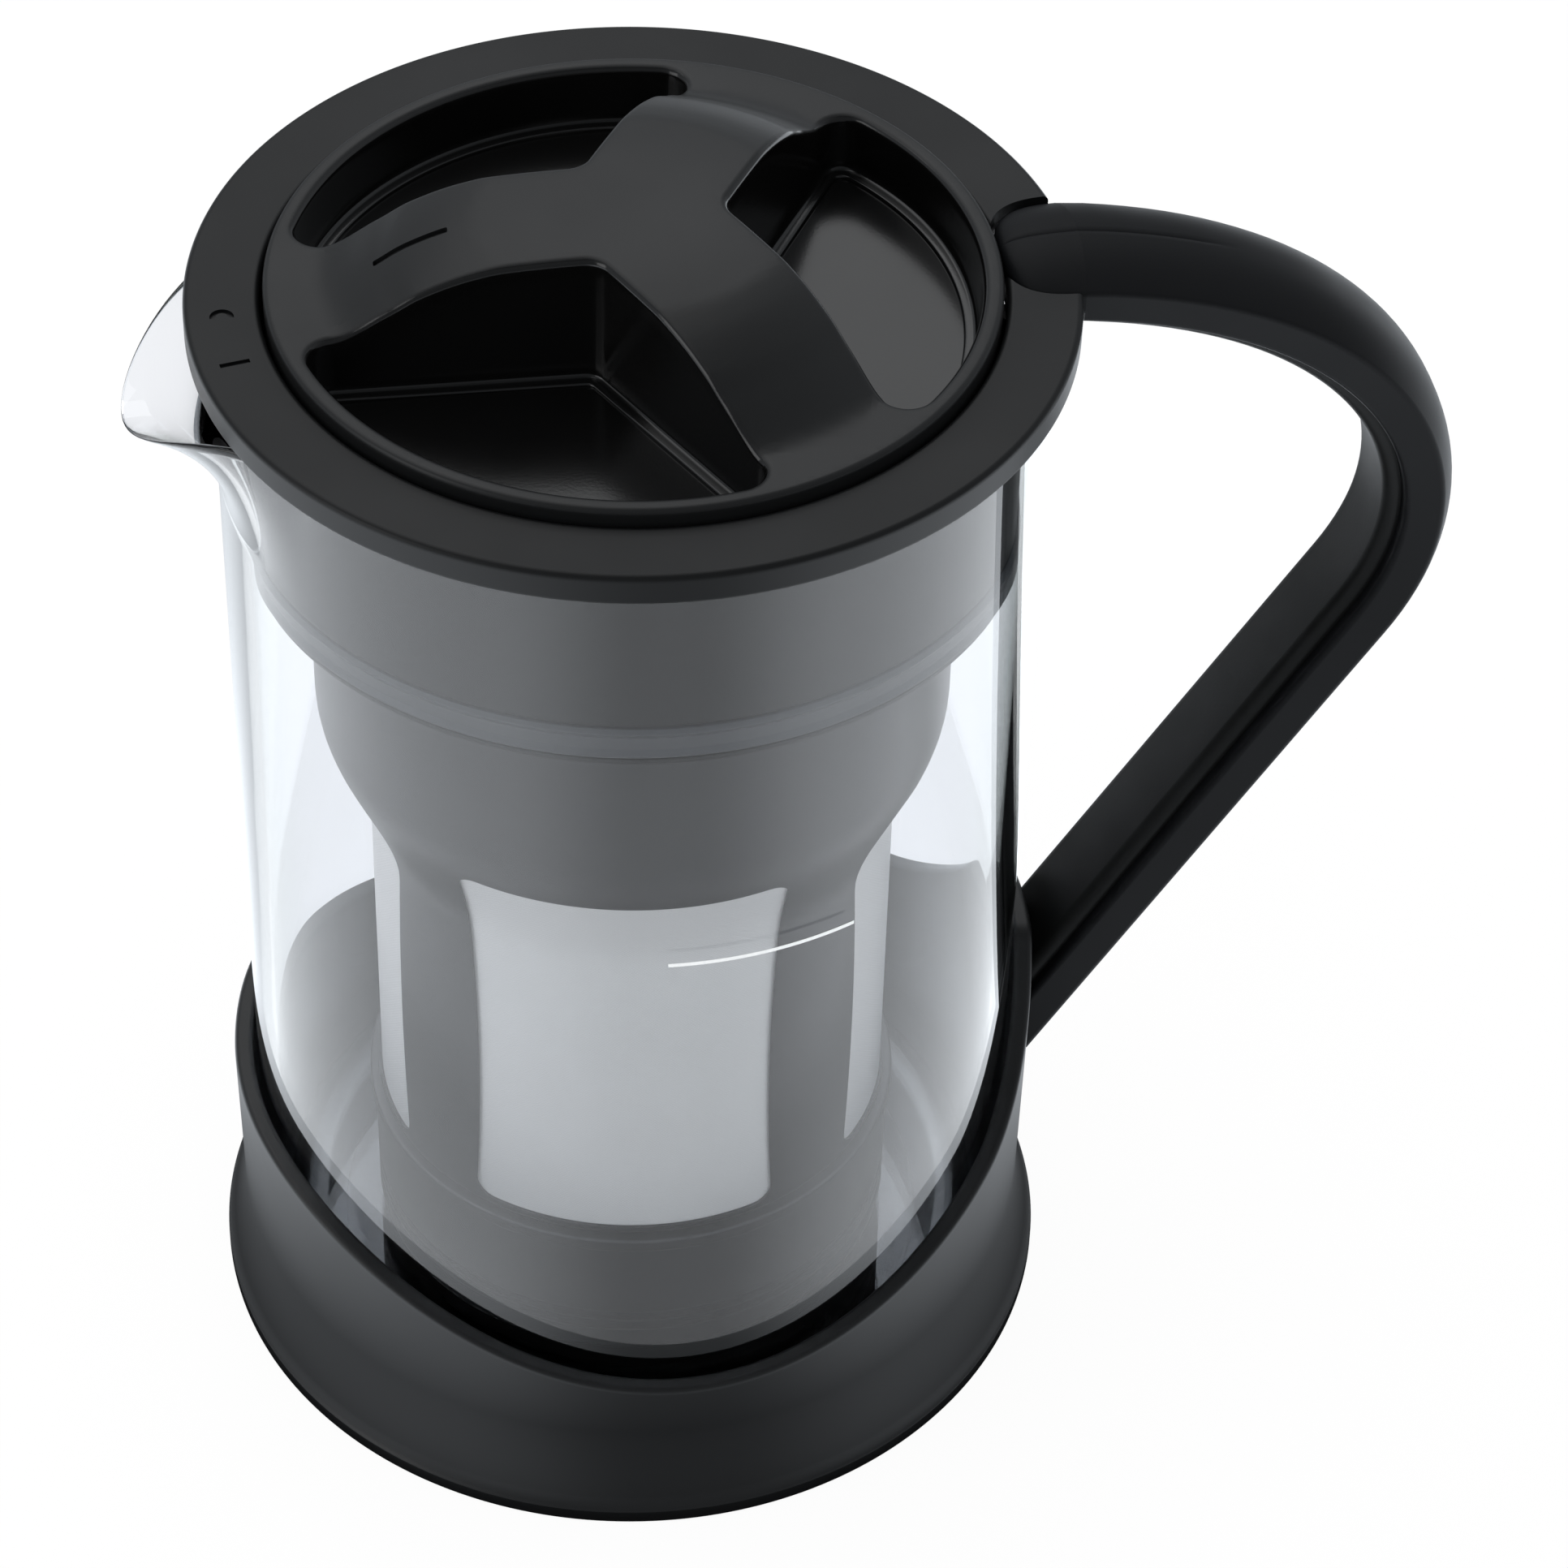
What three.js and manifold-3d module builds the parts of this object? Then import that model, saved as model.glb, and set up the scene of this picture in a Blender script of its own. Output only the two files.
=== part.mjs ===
// Cold brew coffee maker: a glass jug stands in a plastic cup that carries its handle, and a lid
// ring on the jug's rim carries a filter core, which a domed twist cap closes.
// Millimetres, +Z up, origin under the middle of the cup, handle towards +X, spout towards -X.
import * as THREE from "three";
import { mergeVertices } from "three/addons/utils/BufferGeometryUtils.js";
import Module from "manifold-3d";

const wasm = await Module();
wasm.setup();

// Fits that several pieces share
const seatGap = 0.3; // between two pieces of which one rests on the other
const overrun = 1; // how far a cutting shape passes the faces that it cuts
const edgeRound = 0.8; // rounding of a moulded edge

// Glass jug
const glassRadius = 56;
const glassWall = 2.5;
const glassFloor = 4;
const glassHeight = 171;
const glassCorner = 9; // outer radius between floor and wall
const rimRound = 0.9;
const spoutReach = 12.8; // how far the tip stands out of the wall
const spoutDroop = 9; // how far the tip lies under the rim
const spoutHeight = 22; // height of the flare under the rim
const spoutSpread = 25; // degrees from the tip to where the rim is round again

// Cup under the jug
const cupFloor = 3.4;
const cupClearance = 0.6; // from the glass to the cup's wall
const cupWall = 2.8;
const cupWaist = 0.4; // how far the waist lies inside the rim
const waistHeight = 17;
const footFlare = 2.8; // how far the foot stands out of the rim
const footLip = 2.6; // height of the lip at the foot's edge
const footGroove = 0.5; // depth of the line above that lip
const cupRimLow = 26.3; // rim height at the front and the back
const cupRimRise = 15.7; // how much higher it is at the spout and at the handle
const saddleHeight = 60; // rim height behind the handle's foot
const saddleTurn = 8; // degrees from +X over which it keeps that height
const saddleSpread = 36; // degrees from +X to where that rise has run out

// Cushion between cup and jug
const cushionHeight = 1.3;
const cushionInset = 12; // from the glass wall to the ring's outer edge
const cushionWidth = 8;

// Lid ring, with its skirt inside the jug
const ringOverhang = 3.2;
const ringThickness = 4.4;
const openingLip = 0.7; // how far the ring reaches in over the skirt's bore
const skirtClearance = 1.1;
const skirtWall = 2.5;
const skirtDepth = 32.4;
const shelfDrop = 13; // from the ring's top to the shelf's top
const shelfThickness = 2;
const sealGrooveDepth = 1.2;
const sealGrooveHeight = 5.6;
const sealGrooveRise = 1; // from the skirt's lower edge
const sealReach = 0.5; // what the seal's fins leave free to the glass
const notchGap = 0.6; // round the handle's tongue
const dentWall = 1.7;
const dentDrop = 0.6; // from the ring's underside to the dent's top
const slotCount = 3;
const slotWidth = 3;
const slotPitch = 6.5;
const slotMargin = 2; // from a slot's ends to the seal's groove and the shelf
const markDepth = 0.4;
const markWidth = 0.9;
const markLength = 4;
const markArcRadius = 1.6;
const markArcOpening = 80; // degrees from the arc's opening to its end
const markLag = 1.5; // degrees from the cap's spoke to the arc mark

// Handle
const handleWidth = 20.4;
const handleCrown = 3;
const handleDepth = 5.4;
const handleBackWidth = 15;
const handleDip = 0.8; // from the ring's top down to the edge where the handle leaves it
const handleReach = 52.5;
const shoulderDrop = 66.2; // from the ring to where the handle runs straight
const handleFootHeight = 38; // where its outer edge meets the cup
const armGap = 0.5; // from the lid ring to the arm
const noseInset = 0.1; // how far the tongue's nose passes the ring's opening
const tongueLap = 5; // how far the tongue runs on inside the arm
const insertWidth = 14;
const insertDepth = 2;
const insertRound = 1.2;
const screwRadius = 1.3;
const screwHeadRadius = 2.2;
const screwHeadHeight = 1.2;
const screwLength = 7.6;
const screwSpacing = 9;
const screwHeight = 45.5;
const screwSocket = 0.8;

// Filter core
const coreGap = 0.6; // from the dent in the skirt to the core's flange
const flangeWidth = 1.6;
const flangeThickness = 2;
const coreWall = 2.2;
const coreSealHeight = 0.8;
const coreSealInset = 0.5;
const funnelDepth = 53.4; // from the flange to where the core tapers
const taperHeight = 24;
const tubeStep = 6.6; // how much narrower the tube is than the funnel
const neckStep = 3.1; // how much narrower the neck is than the tube
const neckWall = 2;
const neckLength = 13;
const windowFoot = 1.3; // from the tube's end to a window
const windowHead = 17; // how far a window reaches up into the taper
const windowCorner = 2.5;
const windowTurn = -101; // degrees
const windowCount = 4;
const meshRecess = 0.5;
const meshThickness = 0.6;

// Cap at the core's lower end
const floorClearance = 2.7; // from the jug's floor
const bottomCapDepth = 25.7;
const bottomCapWall = 2.3;
const bottomCapProud = 0.6; // how far its wall stands out of the tube
const bottomCapBead = 0.7;
const bottomCapCorner = 2.4;
const neckSealHeight = 2.4;
const neckSealDrop = 2.6; // from the tube's end
const lugCount = 3;
const lugHeight = 2;
const lugReach = 1.1;
const lugRise = 2; // from the neck's end
const lugTurn = 8; // half of a lug's width, degrees
const ledgeTurn = 10;

// Twist cap
const capGap = 0.5; // from the ring's opening to the lip
const capRise = 2; // from the ring's top to the lip's top
const capLip = 2.7;
const domeHeight = 10.3;
const capWall = 2.2;
const pocketFloorInset = 4; // how much narrower a pocket is at its floor
const pocketFloorThickness = 2.3;
const pocketCorner = 3;
const spokeCount = 3;
const spokeHalfWidth = 10.2;
const spokeTurn = 57.4; // degrees from +X to the first spoke
const grooveLength = 9.8;
const grooveStart = 24.4;
const grooveWidth = 1.1;
const grooveDepth = 0.6;
const twist = 10.5; // degrees from the arc mark to the line mark
const lockReach = 1.8;
const lockEngagement = 0.8;
const lockHeight = 1.5;
const lockTurn = 4;

// Plug and gasket under the twist cap
const plugThickness = 3;
const plugClearance = 0.6;
const gasketGrooveHeight = 1.4;
const gasketGrooveDepth = 1.2;

// Shares, chosen by eye from the sizes that they follow
const glassCrowdingShare = 0.3; // how much closer the glass's columns stand at the spout
const windowFootShare = 0.558; // a window's half width to the tube's radius
const windowMiddleShare = 0.537;
const windowHeadShare = 0.587;
const domeShares = [[0.86, 0], [0.7, 0.39], [0.62, 0.63], [0.49, 0.87], [0.41, 0.95], [0.2, 1], [0, 1]];
const shoulderShares = [[0.85, 0.088], [1.221, 0.577], [0.89, 1]];
const crownShares = [[1, 0], [0.82, 0.42], [0.45, 0.85], [0, 1]];
const waveShare = 1.2; // how much sooner than a quarter turn the cup's rim is at its height
const saddleShare = 1.8; // 1 is a straight rise, more is hollower
const spoutShare = 1.2; // 2 is a bell, less is fuller at the tip
const tongueShare = 0.68; // 1 is an ellipse, less is blunter

const roundSteps = 40; // sides of a round piece
const glassSteps = 48;
const screwSteps = 16;
const handleSteps = 32; // sections along the handle
const cornerSteps = 4; // of a rounded corner in an outline

// Places that follow from the sizes above
const glassInner = glassRadius - glassWall;
const glassBottomZ = cupFloor + seatGap + cushionHeight + seatGap;
const glassFloorZ = glassBottomZ + glassFloor;
const rimZ = glassBottomZ + glassHeight;
const cupInner = glassRadius + cupClearance;
const cupRadius = cupInner + cupWall;
const footRadius = cupRadius + footFlare;
const ringRadius = glassRadius + ringOverhang;
const ringBottomZ = rimZ + seatGap;
const ringTopZ = ringBottomZ + ringThickness;
const skirtRadius = glassInner - skirtClearance;
const skirtInner = skirtRadius - skirtWall;
const skirtBottomZ = ringBottomZ - skirtDepth;
const openingRadius = skirtInner - openingLip;
const shelfTopZ = ringTopZ - shelfDrop;
const shelfBottomZ = shelfTopZ - shelfThickness;
const armStart = ringRadius + armGap;
const noseX = openingRadius - noseInset;
const flangeRadius = noseX - notchGap - dentWall - coreGap;
const coreRadius = flangeRadius - flangeWidth;
const mouthRadius = coreRadius - coreWall;
const tubeRadius = coreRadius - tubeStep;
const tubeInner = tubeRadius - coreWall;
const neckRadius = tubeRadius - neckStep;
const flangeBottomZ = shelfTopZ + seatGap + coreSealHeight + seatGap;
const flangeTopZ = flangeBottomZ + flangeThickness;
const taperTopZ = flangeBottomZ - funnelDepth;
const taperBottomZ = taperTopZ - taperHeight;
const bottomCapZ = glassFloorZ + floorClearance;
const bottomCapTopZ = bottomCapZ + bottomCapDepth;
const tubeBottomZ = bottomCapTopZ + seatGap;
const neckBottomZ = tubeBottomZ - neckLength;
const bottomCapRadius = tubeRadius + bottomCapProud;
const bottomCapInner = bottomCapRadius - bottomCapWall;
const lugTopZ = neckBottomZ + lugRise + lugHeight;
const capRadius = openingRadius - capGap;
const capBottomZ = flangeTopZ + seatGap;
const capLipZ = ringBottomZ + seatGap;
const capTopZ = ringTopZ + capRise;
const pocketFloorZ = capBottomZ + pocketFloorThickness;
const pocketRadius = capRadius - capLip;
const lockTopZ = capBottomZ + lockHeight;
const plugRadius = mouthRadius - plugClearance;
const plugBottomZ = flangeTopZ - plugThickness;

const radians = (degrees) => (degrees * Math.PI) / 180;
const easing = (share) => share * share * (3 - 2 * share);

// A geometry as a closed solid that can be joined and cut
function solid(geometry) {
  const bare = geometry.clone();
  bare.deleteAttribute("normal");
  bare.deleteAttribute("uv");
  const merged = mergeVertices(bare);
  return new wasm.Manifold(
    new wasm.Mesh({
      numProp: 3,
      vertProperties: merged.attributes.position.array,
      triVerts: new Uint32Array(merged.index.array),
    }),
  );
}

function geometryOf(body) {
  const { vertProperties, triVerts } = body.getMesh();
  const geometry = new THREE.BufferGeometry();
  geometry.setAttribute("position", new THREE.BufferAttribute(vertProperties, 3));
  geometry.setIndex(new THREE.BufferAttribute(triVerts, 1));
  geometry.computeVertexNormals();
  return geometry;
}

const joined = (bodies) => bodies.reduce((whole, body) => whole.add(body));

// A profile of [radius, height] points, turned round the Z axis. It runs up the outside, and ends
// on the axis or closes on itself.
function turned(profile, steps = roundSteps) {
  const points = profile.map(([radius, height]) => new THREE.Vector2(radius, height));
  if (points[0].x > 0) points.push(points[0].clone());
  return new THREE.LatheGeometry(points, steps).rotateX(Math.PI / 2);
}

const ring = (inner, outer, low, high) =>
  turned([[inner, low], [outer, low], [outer, high], [inner, high]]);

const disc = (radius, low, high) => turned([[0, low], [radius, low], [radius, high], [0, high]]);

// An outline in the XY plane, raised along Z
const upright = (outline, low, high) =>
  new THREE.ExtrudeGeometry(outline, {
    depth: high - low,
    bevelEnabled: false,
    curveSegments: cornerSteps,
  }).translate(0, 0, low);

// An outline in the YZ plane, drawn out along X
const across = (outline, near, far) =>
  upright(outline, near, far).applyMatrix4(
    new THREE.Matrix4().makeBasis(
      new THREE.Vector3(0, 1, 0),
      new THREE.Vector3(0, 0, 1),
      new THREE.Vector3(1, 0, 0),
    ),
  );

// Part of a ring, its middle at an azimuth and reaching halfTurn to both sides, in degrees
function sector(inner, outer, azimuth, halfTurn, low, high) {
  const from = radians(azimuth - halfTurn);
  const to = radians(azimuth + halfTurn);
  const outline = new THREE.Shape();
  outline.absarc(0, 0, outer, from, to, false);
  outline.absarc(0, 0, inner, to, from, true);
  return solid(upright(outline, low, high));
}

// Moves each vertex of a geometry by a function of its place
function reshaped(geometry, move) {
  const places = geometry.attributes.position;
  const place = new THREE.Vector3();
  for (let i = 0; i < places.count; i++) {
    move(place.fromBufferAttribute(places, i));
    places.setXYZ(i, place.x, place.y, place.z);
  }
  return geometry;
}

const root = new THREE.Group();

function add(name, body, color, roughness, more = {}) {
  const material = new THREE.MeshStandardMaterial({ color, roughness, metalness: 0, ...more });
  const mesh = new THREE.Mesh(geometryOf(body), material);
  mesh.name = name;
  root.add(mesh);
}

const charcoal = 0x3a3b3d;
const handleBlack = 0x35383c;
const softBlack = 0x222325;

// Two screws lie side by side along X in the cup's wall and the handle's foot.
const screwPlaces = [-screwSpacing / 2, screwSpacing / 2];
const screwHead = cupInner;

function alongX(geometry, start, side) {
  return geometry.rotateY(Math.PI / 2).translate(start, side, screwHeight);
}

function screwHole(side) {
  const clear = screwRadius + seatGap;
  const headClear = screwHeadRadius + seatGap;
  const profile = [
    [0, -overrun],
    [headClear, -overrun],
    [headClear, 0],
    [clear, screwHeadHeight],
    [clear, screwLength + seatGap],
    [0, screwLength + seatGap],
  ];
  return solid(alongX(turned(profile, screwSteps), screwHead, side));
}

// The cup's rim stands high at the spout and highest at the handle.
function cupRise(x, y) {
  const turn = Math.abs(Math.atan2(y, x));
  const fromFront = Math.abs(Math.PI / 2 - turn);
  const wave = cupRimRise * Math.sin(Math.min(waveShare * fromFront, Math.PI / 2)) ** 2;
  const share = (radians(saddleSpread) - turn) / radians(saddleSpread - saddleTurn);
  const saddle = saddleHeight - cupRimRise - cupRimLow;
  return wave + saddle * Math.min(Math.max(share, 0), 1) ** saddleShare;
}

function baseCup() {
  const flareSteps = 3;
  const lipTop = footLip + footGroove;
  const waist = cupRadius - cupWaist;
  const shoulder = footRadius - footGroove;
  const flare = [];
  for (let i = 0; i <= flareSteps; i++) {
    const share = i / flareSteps;
    const radius = waist + (shoulder - waist) * (1 - share) ** 2;
    flare.push([radius, lipTop + share * (waistHeight - lipTop)]);
  }
  const profile = [
    [0, 0],
    [footRadius - edgeRound, 0],
    [footRadius, edgeRound],
    [footRadius, footLip],
    ...flare,
    [cupRadius, cupRimLow - edgeRound],
    [cupRadius - edgeRound, cupRimLow],
    [cupInner + edgeRound, cupRimLow],
    [cupInner, cupRimLow - edgeRound],
    [cupInner, cupFloor],
    [0, cupFloor],
  ];
  const wall = reshaped(turned(profile), (place) => {
    if (place.z > waistHeight) place.z += cupRise(place.x, place.y);
  });
  return screwPlaces.reduce((cup, side) => cup.subtract(screwHole(side)), solid(wall));
}

function glassCushionRing() {
  const outer = glassRadius - cushionInset;
  const low = cupFloor + seatGap;
  return solid(ring(outer - cushionWidth, outer, low, low + cushionHeight));
}

// The spout is the jug's round wall, pushed out and down near its rim.
function glassCarafe() {
  const flareStart = rimZ - spoutHeight;
  const bendSteps = 3;
  const flareSteps = 4;
  const innerCorner = glassCorner - glassWall;
  const corner = (radius, bottom, size, share) => {
    const turn = (share * Math.PI) / 2;
    return [radius - size + size * Math.sin(turn), bottom + size - size * Math.cos(turn)];
  };
  const outside = [];
  const inside = [];
  for (let i = 0; i <= bendSteps; i++) {
    outside.push(corner(glassRadius, glassBottomZ, glassCorner, i / bendSteps));
    inside.unshift(corner(glassInner, glassFloorZ, innerCorner, i / bendSteps));
  }
  for (let i = 0; i <= flareSteps; i++) {
    const height = flareStart + ((spoutHeight - rimRound) * i) / flareSteps;
    outside.push([glassRadius, height]);
    inside.unshift([glassInner, height]);
  }
  const rim = [[glassRadius - rimRound, rimZ], [glassInner + rimRound, rimZ]];
  const profile = [[0, glassBottomZ], ...outside, ...rim, ...inside, [0, glassFloorZ]];
  const wall = reshaped(turned(profile, glassSteps), (place) => {
    const radius = Math.hypot(place.x, place.y);
    const azimuth = Math.atan2(place.y, place.x);
    const crowded = azimuth + glassCrowdingShare * Math.sin(azimuth);
    const fromTip = Math.min((Math.PI - Math.abs(crowded)) / radians(spoutSpread), 1);
    const up = Math.max(place.z - flareStart, 0) / spoutHeight;
    const push = Math.max(Math.cos((fromTip * Math.PI) / 2), 0) ** spoutShare * up ** 2;
    const reach = radius + spoutReach * push;
    const height = place.z - spoutDroop * push ** 2;
    place.set(reach * Math.cos(crowded), reach * Math.sin(crowded), height);
  });
  return solid(wall);
}

// The handle's outer edge: level through the lid ring, round the shoulder, straight to the cup
function handlePath() {
  const start = new THREE.Vector3(armStart, 0, ringTopZ - handleDip);
  const [near, far, knee] = shoulderShares.map(
    ([out, down]) =>
      new THREE.Vector3(armStart + out * handleReach, 0, start.z - down * shoulderDrop),
  );
  const lead = new THREE.Vector3(noseX - tongueLap, 0, start.z);
  const foot = new THREE.Vector3(cupRadius, 0, handleFootHeight);
  const runOut = foot.clone().sub(knee).setLength(handleWidth);
  const path = new THREE.CurvePath();
  path.add(new THREE.LineCurve3(lead, start));
  path.add(new THREE.CubicBezierCurve3(start, near, far, knee));
  path.add(new THREE.LineCurve3(knee, foot.add(runOut)));
  return path;
}

// A section of [across, inward] points, drawn along the handle and trimmed at the lid and the cup
function alongHandle(section) {
  const outline = new THREE.Shape(section.map(([side, inward]) => new THREE.Vector2(inward, side)));
  return solid(new THREE.ExtrudeGeometry(outline, { steps: handleSteps, extrudePath: handlePath() }));
}

function trimmedArm(sweep) {
  const middle = (saddleHeight + skirtBottomZ) / 2;
  const ringSide = solid(disc(armStart, middle, ringTopZ + domeHeight));
  const cupSide = solid(disc(cupRadius + seatGap, -handleWidth, middle + overrun));
  return sweep.subtract(ringSide).subtract(cupSide);
}

// The tongue's round end, seen from above, grown by an offset and running out to a far x
function tongueOutline(offset, farX) {
  const steps = 12;
  const length = armStart - noseX + offset;
  const half = handleWidth / 2 + offset;
  const points = [new THREE.Vector2(farX, half)];
  for (let i = 0; i <= steps; i++) {
    const turn = Math.PI * (i / steps - 1 / 2);
    const out = Math.max(Math.cos(turn), 0) ** tongueShare;
    const side = -Math.sign(turn) * Math.abs(Math.sin(turn)) ** tongueShare;
    points.push(new THREE.Vector2(armStart - length * out, half * side));
  }
  points.push(new THREE.Vector2(farX, -half));
  return new THREE.Shape(points);
}

function handleShell() {
  const half = handleWidth / 2;
  const crown = crownShares.map(([side, rise]) => [side * half, -rise * handleCrown]);
  const otherHalf = crown.slice(0, -1).reverse().map(([side, inward]) => [-side, inward]);
  const back = handleBackWidth / 2;
  const sweep = alongHandle([[back, handleDepth], ...crown, ...otherHalf, [-back, handleDepth]]);
  const tongueBlock = upright(tongueOutline(0, armStart + tongueLap), ringBottomZ, capTopZ + domeHeight);
  const tongue = sweep.intersect(solid(tongueBlock));
  return screwPlaces.reduce(
    (shell, side) => shell.subtract(screwHole(side)),
    trimmedArm(sweep).add(tongue),
  );
}

function handleInsert() {
  const half = insertWidth / 2;
  const near = handleDepth + seatGap;
  const far = near + insertDepth;
  const section = [
    [half, near],
    [-half, near],
    [-half, far - insertRound],
    [insertRound - half, far],
    [half - insertRound, far],
    [half, far - insertRound],
  ];
  return trimmedArm(alongHandle(section));
}

function handleScrew(side) {
  const profile = [
    [0, screwSocket],
    [screwSocket, 0],
    [screwHeadRadius, 0],
    [screwRadius, screwHeadHeight],
    [screwRadius, screwLength - screwRadius],
    [0, screwLength],
  ];
  return solid(alongX(turned(profile, screwSteps), screwHead, side));
}

const sealGrooveRadius = skirtRadius - sealGrooveDepth;
const sealGrooveZ = skirtBottomZ + sealGrooveRise;
const sealGrooveTopZ = sealGrooveZ + sealGrooveHeight;
const ledgeZ = lockTopZ + seatGap;
const ledgeInner = flangeRadius + lockReach - lockEngagement;
const ledgeRoot = skirtInner + skirtWall / 2;
const spokes = Array.from({ length: spokeCount }, (_, i) => spokeTurn + (360 / spokeCount) * i);
const pocketTurn = 180 / spokeCount; // from a spoke to the pocket beside it
const markAzimuth = spokes[1] + markLag;

function lidMarks() {
  const middle = (ringRadius + openingRadius) / 2;
  const low = ringTopZ - markDepth;
  const high = ringTopZ + overrun;
  const line = new THREE.Shape();
  line.moveTo(middle - markLength / 2, -markWidth / 2);
  line.lineTo(middle + markLength / 2, -markWidth / 2);
  line.lineTo(middle + markLength / 2, markWidth / 2);
  line.lineTo(middle - markLength / 2, markWidth / 2);
  const arc = new THREE.Shape();
  const [from, to] = [radians(90 + markArcOpening), radians(450 - markArcOpening)];
  arc.absarc(middle, 0, markArcRadius, from, to, false);
  arc.absarc(middle, 0, markArcRadius - markWidth, to, from, true);
  return [
    solid(upright(line, low, high).rotateZ(radians(markAzimuth + twist))),
    solid(upright(arc, low, high).rotateZ(radians(markAzimuth))),
  ];
}

function lidCollar() {
  const profile = [
    [skirtInner, skirtBottomZ],
    [skirtRadius, skirtBottomZ],
    [skirtRadius, sealGrooveZ],
    [sealGrooveRadius, sealGrooveZ],
    [sealGrooveRadius, sealGrooveTopZ],
    [skirtRadius, sealGrooveTopZ],
    [skirtRadius, ringBottomZ],
    [ringRadius - edgeRound, ringBottomZ],
    [ringRadius, ringBottomZ + edgeRound],
    [ringRadius, ringTopZ - edgeRound],
    [ringRadius - edgeRound, ringTopZ],
    [openingRadius, ringTopZ],
    [openingRadius, ringBottomZ],
    [skirtInner, ringBottomZ - openingLip],
    [skirtInner, shelfTopZ],
    [coreRadius + seatGap, shelfTopZ],
    [coreRadius + seatGap, shelfBottomZ],
    [skirtInner, shelfBottomZ],
  ];
  const beyond = armStart + overrun;
  const dentOutline = tongueOutline(notchGap + dentWall, beyond);
  const dentBlock = solid(upright(dentOutline, skirtBottomZ, ringBottomZ - dentDrop));
  const dent = dentBlock.intersect(solid(disc(skirtRadius, skirtBottomZ, ringBottomZ)));
  const notchOutline = tongueOutline(notchGap, beyond);
  const notch = solid(upright(notchOutline, skirtBottomZ - overrun, ringTopZ + overrun));
  const ledges = spokes.map((spoke) =>
    sector(ledgeInner, ledgeRoot, spoke + twist, lockTurn, ledgeZ, ledgeZ + lockHeight),
  );
  const slotTurn = (width) => (width / skirtRadius) * (180 / Math.PI);
  const slots = Array.from({ length: slotCount }, (_, i) => {
    const azimuth = 180 + (i - (slotCount - 1) / 2) * slotTurn(slotPitch);
    const [low, high] = [sealGrooveTopZ + slotMargin, shelfBottomZ - slotMargin];
    const [near, far] = [skirtInner - overrun, skirtRadius + overrun];
    return sector(near, far, azimuth, slotTurn(slotWidth) / 2, low, high);
  });
  const blank = solid(turned(profile)).add(dent).subtract(notch).add(joined(ledges));
  return [...slots, ...lidMarks()].reduce((collar, cut) => collar.subtract(cut), blank);
}

function collarSeal() {
  const inner = sealGrooveRadius + seatGap;
  const fin = glassInner - sealReach;
  const low = sealGrooveZ + seatGap;
  const high = sealGrooveTopZ - seatGap;
  const step = (high - low) / 4;
  const profile = [
    [inner, low],
    [fin, low + step / 2],
    [skirtRadius, low + step],
    [skirtRadius, high - step],
    [fin, high - step / 2],
    [inner, high],
  ];
  const gapOutline = tongueOutline(notchGap + dentWall + seatGap, armStart + overrun);
  return solid(turned(profile)).subtract(solid(upright(gapOutline, low - overrun, high + overrun)));
}

function coreSeal() {
  const low = shelfTopZ + seatGap;
  return solid(ring(coreRadius + coreSealInset, flangeRadius, low, low + coreSealHeight));
}

function taper(step) {
  const steps = 4;
  return Array.from({ length: steps + 1 }, (_, i) => [
    tubeRadius - step + tubeStep * easing(i / steps),
    taperBottomZ + (taperHeight * i) / steps,
  ]);
}

// The outline of a filter window in the YZ plane, drawn in by an inset
function windowOutline(inset) {
  const low = tubeBottomZ + windowFoot + inset;
  const high = taperBottomZ + windowHead - inset;
  const foot = windowFootShare * tubeRadius - inset;
  const head = windowHeadShare * tubeRadius - inset;
  const waist = 2 * (windowMiddleShare * tubeRadius - inset) - (foot + head) / 2;
  const middle = (low + high) / 2;
  const outline = new THREE.Shape();
  outline.moveTo(windowCorner - foot, low);
  outline.lineTo(foot - windowCorner, low);
  outline.quadraticCurveTo(foot, low, foot, low + windowCorner);
  outline.quadraticCurveTo(waist, middle, head, high - windowCorner);
  outline.quadraticCurveTo(head, high, head - windowCorner, high);
  outline.lineTo(windowCorner - head, high);
  outline.quadraticCurveTo(-head, high, -head, high - windowCorner);
  outline.quadraticCurveTo(-waist, middle, -foot, low + windowCorner);
  outline.quadraticCurveTo(-foot, low, windowCorner - foot, low);
  return outline;
}

const windowTurns = Array.from({ length: windowCount }, (_, i) =>
  radians(windowTurn + (360 / windowCount) * i),
);
const windowPrism = (turn, inset) =>
  solid(across(windowOutline(inset), neckRadius / 2, coreRadius).rotateZ(turn));

const bayonetTurns = Array.from({ length: lugCount }, (_, i) => (360 / lugCount) * i);

function filterBody() {
  const neckInner = neckRadius - neckWall;
  const profile = [
    [neckInner, neckBottomZ],
    [neckRadius, neckBottomZ],
    [neckRadius, tubeBottomZ],
    [tubeRadius, tubeBottomZ],
    ...taper(0),
    [coreRadius, flangeBottomZ],
    [flangeRadius, flangeBottomZ],
    [flangeRadius, flangeTopZ],
    [mouthRadius, flangeTopZ],
    ...taper(coreWall).reverse(),
    [tubeInner, tubeBottomZ + coreWall - windowFoot],
    [neckInner, tubeBottomZ - windowFoot],
  ];
  const lugRoot = neckRadius - neckWall / 2;
  const lugs = bayonetTurns.map((azimuth) =>
    sector(lugRoot, neckRadius + lugReach, azimuth, lugTurn, lugTopZ - lugHeight, lugTopZ),
  );
  const blank = solid(turned(profile)).add(joined(lugs));
  return windowTurns.reduce((body, turn) => body.subtract(windowPrism(turn, 0)), blank);
}

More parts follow.
